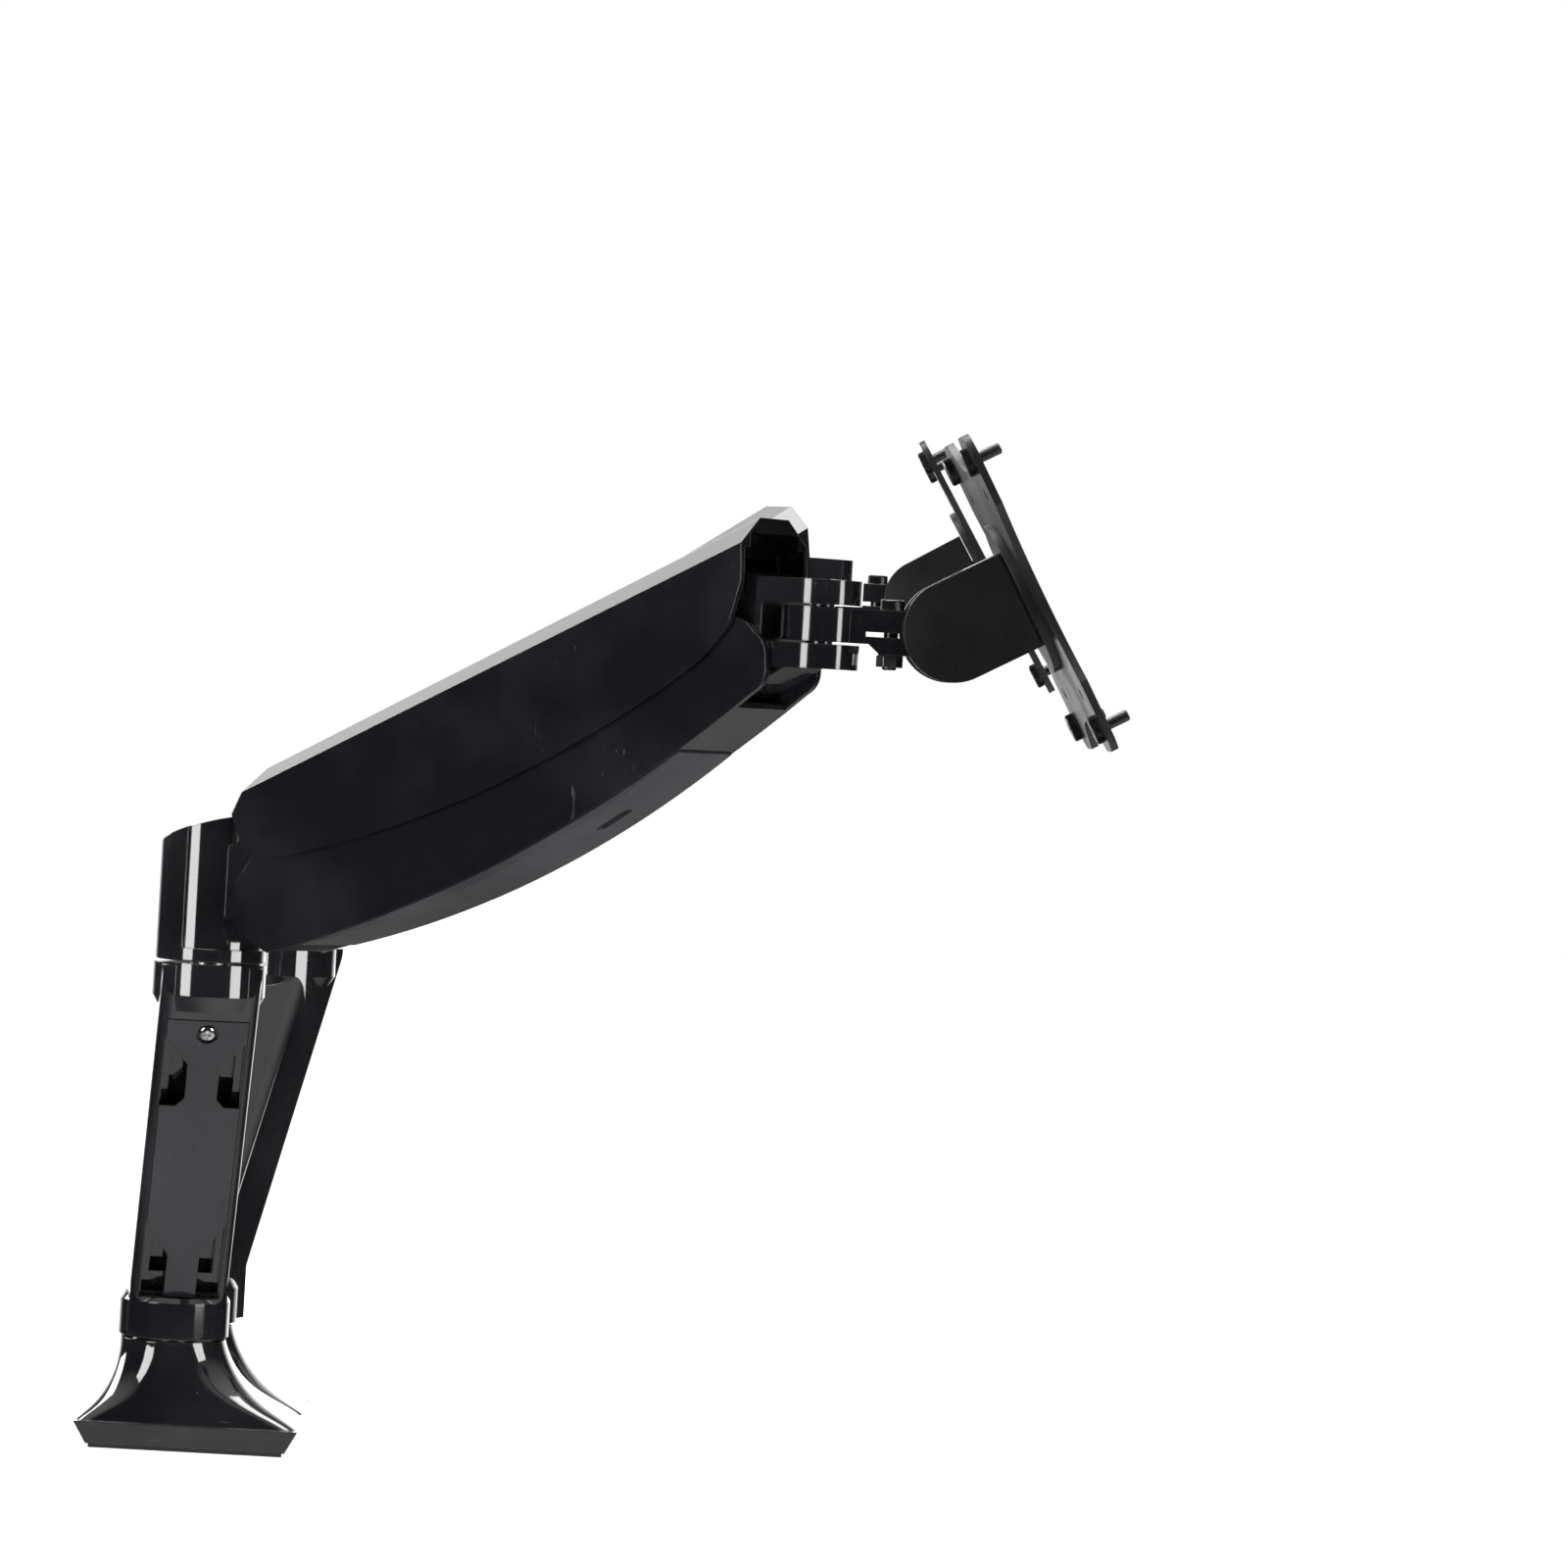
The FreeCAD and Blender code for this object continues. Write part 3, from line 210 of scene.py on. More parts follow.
def hexagon_socket(grid, top, across, depth):
    """Pushes a six-sided pocket into the head: a point sinks where its largest distance along the three flat
    normals is under half the width across flats."""
    x, y, z = np.moveaxis(grid, -1, 0)
    angles = np.radians([0, 60, 120])
    reach = np.max([abs(x * math.cos(a) + y * math.sin(a)) for a in angles], axis=0)
    sunk = 1 - smooth_step(reach, across / 2 - 0.08 * MM, across / 2 + 0.02 * MM)
    near_top = smooth_step(z, top - 1.2 * MM, top - 0.8 * MM)
    return np.stack([x, y, z - depth * sunk * near_top], -1)


def upright(origin, direction):
    """A frame at a point, with its Z axis along the direction."""
    turn = Vector(direction).to_track_quat("Z", "Y").to_matrix().to_4x4()
    return Matrix.Translation(Vector(origin)) @ turn


def spindle(node):
    """A round node's own frame: origin at its thin end, Z along its axis toward its head."""
    mesh = frame["nodes"][node].data
    points = np.zeros(len(mesh.vertices) * 3, np.float32)
    mesh.vertices.foreach_get("co", points)
    points = np.unique(points.reshape(-1, 3).round(6), axis=0).astype(float)
    middle = (points.min(0) + points.max(0)) / 2
    values, axes = np.linalg.eigh(np.cov((points - middle).T))
    gaps = [abs(values[1] - values[2]), abs(values[0] - values[2]), abs(values[0] - values[1])]
    axis = axes[:, int(np.argmin(gaps))]
    centre = points.mean(0)
    along = (points - centre) @ axis
    radial = np.linalg.norm(points - centre - along[:, None] * axis, axis=1)
    head = along[radial > radial.max() * 0.95].mean()
    if head < (along.min() + along.max()) / 2:
        axis, along = -axis, -along
    return upright(centre + axis * along.min(), axis), float(along.max() - along.min()), float(radial.max())


# ---------------------------------------------------------------- shader groups


def new_group(name, inputs, outputs):
    tree = bpy.data.node_groups.new(name, "ShaderNodeTree")
    for label, kind, default in inputs:
        socket = tree.interface.new_socket(name=label, in_out="INPUT", socket_type=kind)
        socket.default_value = default
    for label, kind in outputs:
        tree.interface.new_socket(name=label, in_out="OUTPUT", socket_type=kind)
    return tree, tree.nodes.new("NodeGroupInput"), tree.nodes.new("NodeGroupOutput")


def node(tree, kind, settings=(), **values):
    """A shader node with its properties set from settings and its input sockets from values."""
    made = tree.nodes.new(kind)
    for name, value in dict(settings).items():
        setattr(made, name, value)
    for name, value in values.items():
        made.inputs[name.replace("_", " ")].default_value = value
    return made


def math_node(tree, operation, first, second=None, clamp=False):
    made = tree.nodes.new("ShaderNodeMath")
    made.operation, made.use_clamp = operation, clamp
    for socket, source in zip(made.inputs, (first, second)):
        if isinstance(source, (int, float)):
            socket.default_value = source
        elif source is not None:
            tree.links.new(source, socket)
    return made.outputs[0]


def mixed(tree, share, first, second):
    """Colour between first and second by share; each is a socket or a fixed colour."""
    made = tree.nodes.new("ShaderNodeMix")
    made.data_type = "RGBA"
    sockets = made.inputs["Factor"], made.inputs[6], made.inputs[7]
    for socket, source in zip(sockets, (share, first, second)):
        if isinstance(source, bpy.types.NodeSocket):
            tree.links.new(source, socket)
        else:
            socket.default_value = source
    return made.outputs[2]


def ranged(tree, value, low, high, new_low, new_high):
    made = tree.nodes.new("ShaderNodeMapRange")
    names = "Value", "From Min", "From Max", "To Min", "To Max"
    for name, source in zip(names, (value, low, high, new_low, new_high)):
        if isinstance(source, bpy.types.NodeSocket):
            tree.links.new(source, made.inputs[name])
        else:
            made.inputs[name].default_value = source
    return made.outputs[0]


def noise(tree, where, scale, detail=3.0, roughness=0.55, stretch=None):
    """Noise on Object coordinates, stretched along an axis when asked."""
    made = node(tree, "ShaderNodeTexNoise", Detail=detail, Roughness=roughness)
    if stretch is None:
        tree.links.new(where, made.inputs["Vector"])
    else:
        mapping = node(tree, "ShaderNodeMapping")
        mapping.inputs["Scale"].default_value = stretch
        tree.links.new(where, mapping.inputs["Vector"])
        tree.links.new(mapping.outputs[0], made.inputs["Vector"])
    if isinstance(scale, bpy.types.NodeSocket):
        tree.links.new(scale, made.inputs["Scale"])
    else:
        made.inputs["Scale"].default_value = scale
    return made.outputs["Fac"]


def handling_group():
    """Handling marks on a lacquered or moulded face: broad smudges change the gloss, and a few fine
    hairline scratches and dust specks lighten it."""
    tree, inside, out = new_group(
        "Handling marks",
        [
            ("Colour", "NodeSocketColor", (0.01, 0.01, 0.01, 1)),
            ("Gloss low", "NodeSocketFloat", 0.08),
            ("Gloss high", "NodeSocketFloat", 0.2),
            ("Marks", "NodeSocketFloat", 0.5),
        ],
        [("Colour", "NodeSocketColor"), ("Roughness", "NodeSocketFloat"), ("Height", "NodeSocketFloat")],
    )
    where = tree.nodes.new("ShaderNodeTexCoord").outputs["Object"]
    smudge = ranged(tree, noise(tree, where, 18, 4), 0.42, 0.68, 0, 1)
    fine = noise(tree, where, 900, 2)
    hair_one = ranged(tree, noise(tree, where, 60, 1, 0.5, (1, 14, 2)), 0.73, 0.76, 0, 1)
    hair_two = ranged(tree, noise(tree, where, 70, 1, 0.5, (12, 1, 3)), 0.74, 0.77, 0, 1)
    specks = ranged(tree, noise(tree, where, 1400, 0), 0.80, 0.84, 0, 1)
    hairs = math_node(tree, "ADD", hair_one, hair_two, clamp=True)
    hairs = math_node(tree, "MULTIPLY", hairs, ranged(tree, noise(tree, where, 9, 2), 0.5, 0.62, 0, 1))
    marks = math_node(tree, "ADD", hairs, specks, clamp=True)
    marks = math_node(tree, "MULTIPLY", marks, inside.outputs["Marks"])
    paled = math_node(tree, "MULTIPLY", marks, 0.16)
    worn = mixed(tree, paled, inside.outputs["Colour"], (0.35, 0.35, 0.36, 1))
    lightened = mixed(tree, math_node(tree, "MULTIPLY", smudge, 0.05), worn, (0.12, 0.12, 0.13, 1))
    tree.links.new(lightened, out.inputs["Colour"])
    share = math_node(tree, "MULTIPLY", smudge, inside.outputs["Marks"])
    rough = ranged(tree, share, 0, 1, inside.outputs["Gloss low"], inside.outputs["Gloss high"])
    rough = math_node(tree, "ADD", rough, math_node(tree, "MULTIPLY", marks, 0.25))
    tree.links.new(rough, out.inputs["Roughness"])
    ripple = math_node(tree, "MULTIPLY", noise(tree, where, 55, 1), 0.7)
    height = math_node(tree, "ADD", ripple, math_node(tree, "MULTIPLY", fine, 0.3))
    height = math_node(tree, "SUBTRACT", height, math_node(tree, "MULTIPLY", hairs, 0.5))
    tree.links.new(height, out.inputs["Height"])
    return tree


def grain_group():
    """Moulded or sprayed grain: rounded cells of a set pitch with finer noise on top, pale on the crowns."""
    tree, inside, out = new_group(
        "Fine grain",
        [
            ("Colour", "NodeSocketColor", (0.02, 0.02, 0.02, 1)),
            ("Pitch", "NodeSocketFloat", 1800.0),
            ("Roughness", "NodeSocketFloat", 0.45),
            ("Contrast", "NodeSocketFloat", 0.3),
        ],
        [("Colour", "NodeSocketColor"), ("Roughness", "NodeSocketFloat"), ("Height", "NodeSocketFloat")],
    )
    where = tree.nodes.new("ShaderNodeTexCoord").outputs["Object"]
    cells = node(tree, "ShaderNodeTexVoronoi", {"feature": "SMOOTH_F1"}, Smoothness=0.6)
    tree.links.new(where, cells.inputs["Vector"])
    tree.links.new(inside.outputs["Pitch"], cells.inputs["Scale"])
    cell = ranged(tree, cells.outputs["Distance"], 0, 0.8, 1, 0)
    fine = noise(tree, where, math_node(tree, "MULTIPLY", inside.outputs["Pitch"], 1.7), 3)
    fine = math_node(tree, "MULTIPLY", fine, 0.3)
    height = math_node(tree, "ADD", math_node(tree, "MULTIPLY", cell, 0.7), fine)
    tree.links.new(height, out.inputs["Height"])
    cloud = ranged(tree, noise(tree, where, 25, 4), 0.4, 0.65, 0, 1)
    share = math_node(tree, "MULTIPLY", height, 0.6)
    share = math_node(tree, "ADD", share, math_node(tree, "MULTIPLY", cloud, 0.4))
    share = math_node(tree, "MULTIPLY", share, inside.outputs["Contrast"])
    tint = mixed(tree, share, inside.outputs["Colour"], (0.16, 0.16, 0.17, 1))
    tree.links.new(tint, out.inputs["Colour"])
    spread = ranged(tree, cloud, 0, 1, -0.05, 0.07)
    tree.links.new(math_node(tree, "ADD", inside.outputs["Roughness"], spread), out.inputs["Roughness"])
    return tree


def turned_group():
    """Machined metal: close lathe lines across the Z axis, cloudy tarnish and a darker oil film."""
    tree, inside, out = new_group(
        "Turned metal",
        [
            ("Colour", "NodeSocketColor", (0.4, 0.4, 0.4, 1)),
            ("Roughness", "NodeSocketFloat", 0.25),
            ("Tarnish", "NodeSocketFloat", 0.3),
            ("Lines", "NodeSocketFloat", 2600.0),
        ],
        [("Colour", "NodeSocketColor"), ("Roughness", "NodeSocketFloat"), ("Height", "NodeSocketFloat")],
    )
    where = tree.nodes.new("ShaderNodeTexCoord").outputs["Object"]
    lines = noise(tree, where, inside.outputs["Lines"], 2, 0.6, (0.12, 0.12, 1))
    cloud = ranged(tree, noise(tree, where, 120, 4), 0.35, 0.7, 0, 1)
    film = math_node(tree, "MULTIPLY", cloud, inside.outputs["Tarnish"])
    dark = mixed(tree, film, inside.outputs["Colour"], (0.09, 0.085, 0.08, 1))
    tint = mixed(tree, math_node(tree, "MULTIPLY", lines, 0.12), dark, (0.9, 0.9, 0.92, 1))
    tree.links.new(tint, out.inputs["Colour"])
    spread = math_node(tree, "ADD", math_node(tree, "MULTIPLY", lines, 0.5), cloud)
    spread = math_node(tree, "MULTIPLY", spread, 0.12)
    tree.links.new(math_node(tree, "ADD", inside.outputs["Roughness"], spread), out.inputs["Roughness"])
    tree.links.new(lines, out.inputs["Height"])
    return tree


GROUPS = {}


def material(name, group, feeds, depth, round_edges, **fixed):
    """A Principled material: the group gives colour, roughness and height, and fixed values are set on the
    shader's own sockets."""
    made = bpy.data.materials.new(name)
    made.use_nodes = True
    tree = made.node_tree
    shader = tree.nodes["Principled BSDF"]
    detail = tree.nodes.new("ShaderNodeGroup")
    detail.node_tree = GROUPS[group]
    for label, value in feeds.items():
        detail.inputs[label].default_value = value
    tree.links.new(detail.outputs["Colour"], shader.inputs["Base Color"])
    tree.links.new(detail.outputs["Roughness"], shader.inputs["Roughness"])
    bump = tree.nodes.new("ShaderNodeBump")
    bump.inputs["Strength"].default_value = 1.0
    bump.inputs["Distance"].default_value = depth
    tree.links.new(detail.outputs["Height"], bump.inputs["Height"])
    if round_edges:
        soft = node(tree, "ShaderNodeBevel", {"samples": 6}, Radius=round_edges)
        tree.links.new(soft.outputs[0], bump.inputs["Normal"])
    tree.links.new(bump.outputs[0], shader.inputs["Normal"])
    for label, value in fixed.items():
        shader.inputs[label.replace("_", " ")].default_value = value
    return made


def solid(rgb):
    return (*rgb, 1.0)


def make_finishes(look):
    """Every finish of the object by name."""
    GROUPS["handling"] = handling_group()
    GROUPS["grain"] = grain_group()
    GROUPS["turned"] = turned_group()
    edge = look.edge_round
    lacquer = {"Gloss low": 0.055, "Gloss high": 0.16, "Marks": look.smudge}
    satin = {"Gloss low": 0.24, "Gloss high": 0.36, "Marks": look.smudge}
    return {
        "gloss": material(
            "Piano black lacquer", "handling", {"Colour": solid(look.lacquer), **lacquer},
            0.00002, edge, Coat_Weight=1.0, Coat_Roughness=0.06, IOR=1.5,
        ),
        "gloss_cover": material(
            "Piano black cover", "handling", {"Colour": solid(look.lacquer), **lacquer, "Gloss high": 0.2},
            0.00003, edge, Coat_Weight=0.7, Coat_Roughness=0.06, IOR=1.5,
        ),
        "casting": material(
            "Black enamel on casting", "handling", {"Colour": solid(look.lacquer), **lacquer},
            0.00005, edge * 1.6, Coat_Weight=1.0, Coat_Roughness=0.04, IOR=1.5,
        ),
        "satin": material(
            "Satin black moulding", "handling",
            {"Colour": solid(look.satin), **satin, "Gloss low": 0.14, "Gloss high": 0.26},
            0.00002, edge * 0.7, Coat_Weight=0.4, Coat_Roughness=0.15,
        ),
        "satin_metal": material(
            "Black lacquer on die casting", "handling",
            {"Colour": solid(look.lacquer), **lacquer, "Gloss low": 0.10},
            0.00004, edge, Coat_Weight=0.8, Coat_Roughness=0.08,
        ),
        "steel_black": material(
            "Black powder coat", "grain",
            {"Colour": solid(look.powder), "Pitch": 2400.0, "Roughness": 0.38, "Contrast": 0.04},
            0.00003, edge * 0.6,
        ),
        "grey_cover": material(
            "Textured grey plastic", "grain",
            {"Colour": solid(look.cover_grey), "Pitch": 3000.0, "Roughness": 0.36, "Contrast": 0.16},
            0.00003, edge * 0.8,
        ),
        "spring_paint": material(
            "Spring cylinder enamel", "handling", {"Colour": solid(look.satin), **satin},
            0.00003, edge * 0.6, Coat_Weight=0.3, Coat_Roughness=0.2,
        ),
        "housing": material(
            "Spark-eroded black plastic", "grain",
            {"Colour": solid(look.powder), "Pitch": 3400.0, "Roughness": 0.42, "Contrast": 0.02},
            0.00003, edge * 1.4,
        ),
        "steel": material(
            "Machined steel", "turned", {"Colour": solid(look.steel), "Roughness": 0.24, "Tarnish": 0.45},
            0.00001, edge * 0.3, Metallic=1.0,
        ),
        "chrome": material(
            "Chrome plate", "turned", {"Colour": solid(look.chrome), "Roughness": 0.05, "Tarnish": 0.08},
            0.000003, 0, Metallic=1.0,
        ),
        "black_steel": material(
            "Blackened steel", "turned",
            {"Colour": (0.05, 0.05, 0.055, 1), "Roughness": 0.26, "Tarnish": 0.3},
            0.00001, 0, Metallic=1.0,
        ),
        "bush": material(
            "Natural acetal", "grain",
            {"Colour": solid(look.acetal), "Pitch": 1500.0, "Roughness": 0.4, "Contrast": 0.05},
            0.00002, edge * 0.3,
        ),
        "rubber": material(
            "Foot rubber", "grain",
            {"Colour": solid(look.rubber), "Pitch": 1300.0, "Roughness": 0.78, "Contrast": 0.12},
            0.00006, edge * 0.4,
        ),
    }


FINISHES = {}
PAINTED_OVER = {
    "rear_pins": "gloss",
    "front_pins": "gloss",
    "tilt_axle": "housing",
    "tilt_housing": "housing",
    "swivel_pin": "black_steel",
    "spring_rear_pin": "black_steel",
}


def finish(piece, name, body):
    """Gives a new piece its finish and the body it moves with."""
    piece.data.materials.append(FINISHES[name])
    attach(piece, body)
    return piece


# ---------------------------------------------------------------- operators


class MONITORARM_OT_finishes(bpy.types.Operator):
    """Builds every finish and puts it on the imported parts"""

    bl_idname = "monitor_arm.finishes"
    bl_label = "Finishes"

    def execute(self, context):
        FINISHES.update(make_finishes(context.scene.arm_finish))
        slots = {part["node"]: part["material_slot"] for part in RECORD["subparts"]}
        for name, part in frame["nodes"].items():
            kind = PAINTED_OVER.get(name.partition("_")[2], slots[name])
            if not part.material_slots:
                part.data.materials.append(None)
            for place in part.material_slots:
                place.material = FINISHES[kind]
        return {"FINISHED"}


class MONITORARM_OT_cross_screws(bpy.types.Operator):
    """Pan-head screws with a cross recess in the cable covers"""

    bl_idname = "monitor_arm.cross_screws"
    bl_label = "Cross-recess screws"

    def execute(self, context):
        sizes = context.scene.arm_fasteners
        for side in SIDES:
            node_name = f"{side}_cable_cover_screw"
            place, tall, radius = spindle(node_name)
            crown = 1.7 * MM
            sweep = np.linspace(0, math.pi / 2, 16)
            dome = [(radius * math.sin(a), tall - crown + crown * 0.97 * math.cos(a) ** 0.8) for a in sweep]
            seat, shank = tall - 2.0 * MM, 1.5 * MM
            rim = [(radius, seat), (shank, seat), (shank, 0.3 * MM), (1.2 * MM, 0), (0, 0)]
            grid = lathe(densify(dome + rim, 0.09 * MM), 144)
            grid = cross_recess(grid, tall, sizes.cross_width, sizes.cross_reach, sizes.cross_depth)
            piece = surface(f"{side}_cross_screw", [(placed(grid, place), True)], 40)
            finish(piece, "chrome", f"{side}_lower")
            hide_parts(node_name)
        return {"FINISHED"}


class MONITORARM_OT_clamp_bolts(bpy.types.Operator):
    """Knurled cap bolts with a hexagon socket that close the tilt clamps"""

    bl_idname = "monitor_arm.clamp_bolts"
    bl_label = "Clamp bolts"

    def execute(self, context):
        sizes = context.scene.arm_fasteners
        for side in SIDES:
            node_name = f"{side}_clamp_bolt"
            place, tall, radius = spindle(node_name)
            seat = tall - 3.8 * MM
            profile = [
                (0, tall),
                (radius - 0.5 * MM, tall),
                (radius - 0.12 * MM, tall - 0.2 * MM),
                (radius, tall - 0.6 * MM),
                (radius, seat + 0.2 * MM),
                (radius - 0.2 * MM, seat),
                (2.5 * MM, seat),
                (2.5 * MM, 0.5 * MM),
                (2.1 * MM, 0),
                (0, 0),
            ]
            grid = lathe(densify(profile, 0.12 * MM), 144)
            grid = knurled(grid, seat + 0.3 * MM, tall - 0.7 * MM, radius, sizes.knurl_depth, 72)
            grid = hexagon_socket(grid, tall, sizes.socket_width, sizes.socket_depth)
            piece = surface(f"{side}_cap_bolt", [(placed(grid, place), True)], 40)
            finish(piece, "black_steel", f"{side}_head")
            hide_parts(node_name)
        return {"FINISHED"}


class MONITORARM_OT_thumb_screws(bpy.types.Operator):
    """Knurled thumb screws at the corners of the screen plates"""

    bl_idname = "monitor_arm.thumb_screws"
    bl_label = "Thumb screws"

    def execute(self, context):
        sizes = context.scene.arm_fasteners
        for side in SIDES:
            mount = MOUNTS[f"{side}_screen_studs"]
            normal, centre = Vector(mount["axis"]), Vector(MOUNTS[f"{side}_screen_face"]["pos_m"])
            across = Vector((0, 0, 1)).cross(normal).normalized()
            rise = normal.cross(across)
            half = mount["dims"]["pcd_mm"] * MM / 2 / math.sqrt(2)
            plate = 2.6 * MM
            profile = [
                (0, -plate - 3.0 * MM), (2.6 * MM, -plate - 3.0 * MM), (4.5 * MM, -plate - 2.95 * MM),
                (5.0 * MM, -plate - 2.5 * MM), (5.0 * MM, -plate - 0.3 * MM), (4.7 * MM, -plate),
                (2.0 * MM, -plate), (2.0 * MM, 7.5 * MM), (1.5 * MM, 8.0 * MM), (0, 8.0 * MM),
            ]
            grid = lathe(densify(profile, 0.25 * MM), 96)
            knurl = sizes.knurl_depth * 1.6
            grid = knurled(grid, -plate - 2.6 * MM, -plate - 0.2 * MM, 5.0 * MM, knurl, 48)
            turned = grid * (1, 1, -1)
            cross = sizes.cross_width, sizes.cross_reach, sizes.cross_depth
            turned = cross_recess(turned, plate + 3.0 * MM, *cross)
            grid = turned * (1, 1, -1)
            patches = [
                (placed(grid, upright(centre + across * half * i + rise * half * j, normal)), True)
                for i in (-1, 1)
                for j in (-1, 1)
            ]
            piece = surface(f"{side}_thumb_screws", patches, 40)
            finish(piece, "black_steel", f"{side}_screen")
            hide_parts(f"{side}_vesa_screws")
        return {"FINISHED"}


class MONITORARM_OT_seam_rings(bpy.types.Operator):
    """Dark sliding rings that show in the swivel seams at neck and elbow"""

    bl_idname = "monitor_arm.seam_rings"
    bl_label = "Seam rings"

    def execute(self, context):
        wide = context.scene.arm_fasteners.seam_ring
        for side in SIDES:
            for seam in ("base", "elbow"):
                centre = Vector(JOINTS[f"{side}_{seam}_swivel"]["pos_m"])
                outer, tall = 19.6 * MM, 0.52 * MM
                t = np.linspace(0, 2 * math.pi, 24, endpoint=False)
                section = np.stack(
                    [
                        outer - wide / 2 + wide / 2 * np.sign(np.cos(t)) * abs(np.cos(t)) ** 0.25,
                        tall / 2 + tall / 2 * np.sign(np.sin(t)) * abs(np.sin(t)) ** 0.5,
                    ],
                    -1,
                )
                section = np.vstack([section, section[:1]])
                grid = lathe(section, 128)
                place = Matrix.Translation(centre + Vector((0, 0, SEAM_LIFT)))
                piece = surface(f"{side}_{seam}_seam_ring", [(placed(grid, place), True)], 60)
                finish(piece, "rubber", f"{side}_lower")
        return {"FINISHED"}


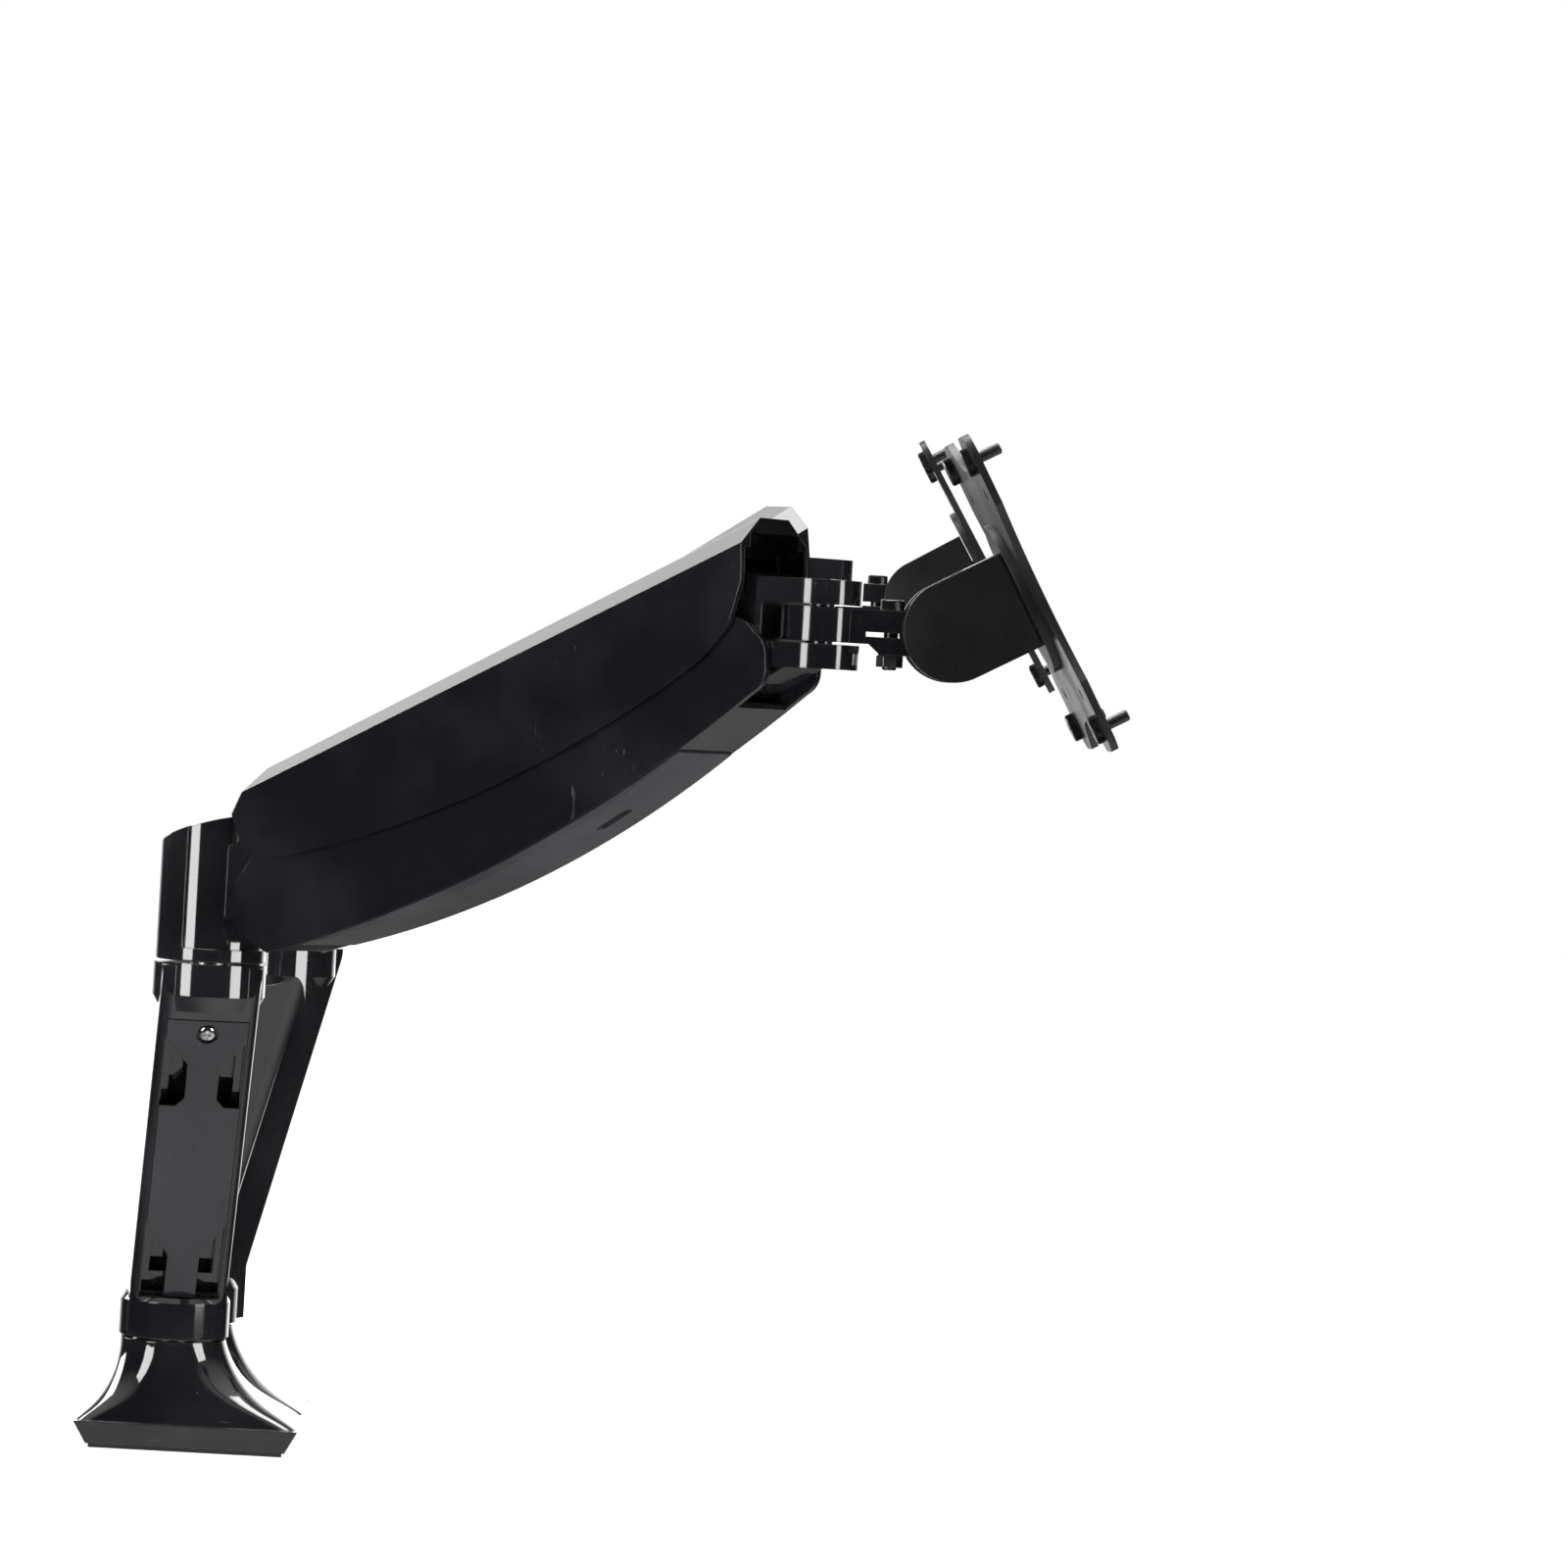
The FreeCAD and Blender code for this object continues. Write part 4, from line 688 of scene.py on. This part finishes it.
class MONITORARM_OT_studio(bpy.types.Operator):
    """Pale floor, white surroundings, soft lights and the camera"""

    bl_idname = "monitor_arm.studio"
    bl_label = "Studio"

    def execute(self, context):
        look = context.scene.arm_studio
        self.world(context.scene, look)
        self.floor(look)
        self.lights(look)
        self.camera(context.scene)
        context.scene.view_settings.view_transform = "Standard"
        return {"FINISHED"}

    def world(self, scene, look):
        """White behind the object; in reflections dark on the camera's side, bright above and behind."""
        world = bpy.data.worlds.new("Studio surroundings")
        world.use_nodes = True
        tree = world.node_tree
        tree.nodes.clear()
        where = tree.nodes.new("ShaderNodeTexCoord").outputs["Generated"]
        parts = tree.nodes.new("ShaderNodeSeparateXYZ")
        tree.links.new(where, parts.inputs[0])
        above_desk = ranged(tree, parts.outputs["Z"], -0.3, 0.05, 0, 1)
        back = math_node(tree, "MULTIPLY", ranged(tree, parts.outputs["Y"], 0.72, 0.96, 0, 1), above_desk)
        roof = ranged(tree, parts.outputs["Z"], 0.45, 0.98, 0, 0.4)
        bounce = ranged(tree, parts.outputs["Z"], -0.45, -0.85, 0, 0.25)
        bounce = math_node(tree, "MULTIPLY", bounce, ranged(tree, parts.outputs["X"], -0.45, 0.15, 0.2, 1))
        glow = math_node(tree, "MAXIMUM", math_node(tree, "MAXIMUM", back, roof), bounce)
        light = ranged(tree, glow, 0, 1, 0.02, look.rear_glow)
        path = tree.nodes.new("ShaderNodeLightPath")
        seen = ranged(tree, path.outputs["Is Camera Ray"], 0, 1, light, look.backdrop)
        background = tree.nodes.new("ShaderNodeBackground")
        background.inputs["Color"].default_value = (1, 1, 1, 1)
        tree.links.new(seen, background.inputs["Strength"])
        out = tree.nodes.new("ShaderNodeOutputWorld")
        tree.links.new(background.outputs[0], out.inputs[0])
        scene.world = world

    def floor(self, look):
        """Flat sheet: the point at (u, v) is (u, v, 0), a hair under the foot."""
        u = np.linspace(-look.floor_size, look.floor_size, 9)
        x, y = np.meshgrid(u, u, indexing="ij")
        floor = surface("studio_floor", [(np.stack([x, y, 0 * x - 0.00005], -1), False)])
        made = bpy.data.materials.new("Pale floor")
        made.use_nodes = True
        shader = made.node_tree.nodes["Principled BSDF"]
        shader.inputs["Base Color"].default_value = (0.93, 0.93, 0.93, 1)
        shader.inputs["Roughness"].default_value = 0.9
        shader.inputs["Specular IOR Level"].default_value = 0.1
        shader.inputs["Emission Color"].default_value = (1, 1, 1, 1)
        shader.inputs["Emission Strength"].default_value = 0.8
        floor.data.materials.append(made)
        floor.visible_glossy = False

    def lights(self, look):
        aim = Vector((0.12, 0.0, 0.22))
        for name, place, wide, tall, power in (
            ("Left strip", (-1.35, -1.5, 0.6), 0.75, 1.3, look.strip_power),
            ("Right strip", (1.7, -1.1, 0.5), 0.8, 1.3, look.strip_power),
            ("Back left", (-1.5, 0.9, 0.9), 0.7, 1.4, look.strip_power * 1.1),
            ("Roof", (0.15, 0.35, 1.9), 1.6, 1.1, look.roof_power),
        ):
            light = bpy.data.lights.new(name, "AREA")
            light.shape, light.size, light.size_y, light.energy = "RECTANGLE", wide, tall, power
            lamp = bpy.data.objects.new(name, light)
            lamp.location = place
            lamp.rotation_mode = "QUATERNION"
            lamp.rotation_quaternion = (aim - Vector(place)).to_track_quat("-Z", "Y")
            lamp.visible_camera = False
            bpy.context.scene.collection.objects.link(lamp)

    def camera(self, scene):
        """Long lens, almost level, square to the arms' fold and leaning a little."""
        yaw, pitch, lean = (math.radians(angle) for angle in CAMERA_TURNS)
        ahead = Vector((math.sin(yaw) * math.cos(pitch), math.cos(yaw) * math.cos(pitch), math.sin(pitch)))
        right = Vector((math.cos(yaw), -math.sin(yaw), 0))
        above = right.cross(ahead)
        right, above = (
            right * math.cos(lean) + above * math.sin(lean),
            above * math.cos(lean) - right * math.sin(lean),
        )
        lens = bpy.data.cameras.new("Camera")
        lens.sensor_width, lens.lens = 36.0, CAMERA_LENS
        lens.clip_start, lens.clip_end = 0.05, 50
        camera = bpy.data.objects.new("Camera", lens)
        turn = Matrix((right, above, -ahead)).transposed().to_4x4()
        camera.matrix_world = Matrix.Translation(CAMERA_PLACE) @ turn
        scene.collection.objects.link(camera)
        scene.camera = camera


STEPS = (
    MONITORARM_OT_finishes,
    MONITORARM_OT_cross_screws,
    MONITORARM_OT_clamp_bolts,
    MONITORARM_OT_thumb_screws,
    MONITORARM_OT_seam_rings,
    MONITORARM_OT_studio,
)


class MONITORARM_PT_steps(bpy.types.Panel):
    """Sizes, colours and steps of the monitor arm"""

    bl_label = "Monitor arm"
    bl_idname = "MONITORARM_PT_steps"
    bl_space_type = "VIEW_3D"
    bl_region_type = "UI"
    bl_category = "Monitor arm"

    def draw(self, context):
        for step in STEPS:
            self.layout.operator(step.bl_idname)
        for group in (context.scene.arm_finish, context.scene.arm_fasteners, context.scene.arm_studio):
            box = self.layout.box()
            for name in group.bl_rna.properties.keys():
                if name not in ("rna_type", "name"):
                    box.prop(group, name)


CLASSES = (ArmFinish, ArmFasteners, ArmStudio, *STEPS, MONITORARM_PT_steps)


def register():
    for item in CLASSES:
        bpy.utils.register_class(item)
    bpy.types.Scene.arm_finish = bpy.props.PointerProperty(type=ArmFinish)
    bpy.types.Scene.arm_fasteners = bpy.props.PointerProperty(type=ArmFasteners)
    bpy.types.Scene.arm_studio = bpy.props.PointerProperty(type=ArmStudio)


def unregister():
    del bpy.types.Scene.arm_studio
    del bpy.types.Scene.arm_fasteners
    del bpy.types.Scene.arm_finish
    for item in reversed(CLASSES):
        bpy.utils.unregister_class(item)


def main():
    register()
    for step in STEPS:
        family, _, action = step.bl_idname.partition(".")
        getattr(getattr(bpy.ops, family), action)()


if __name__ == "__main__":
    main()
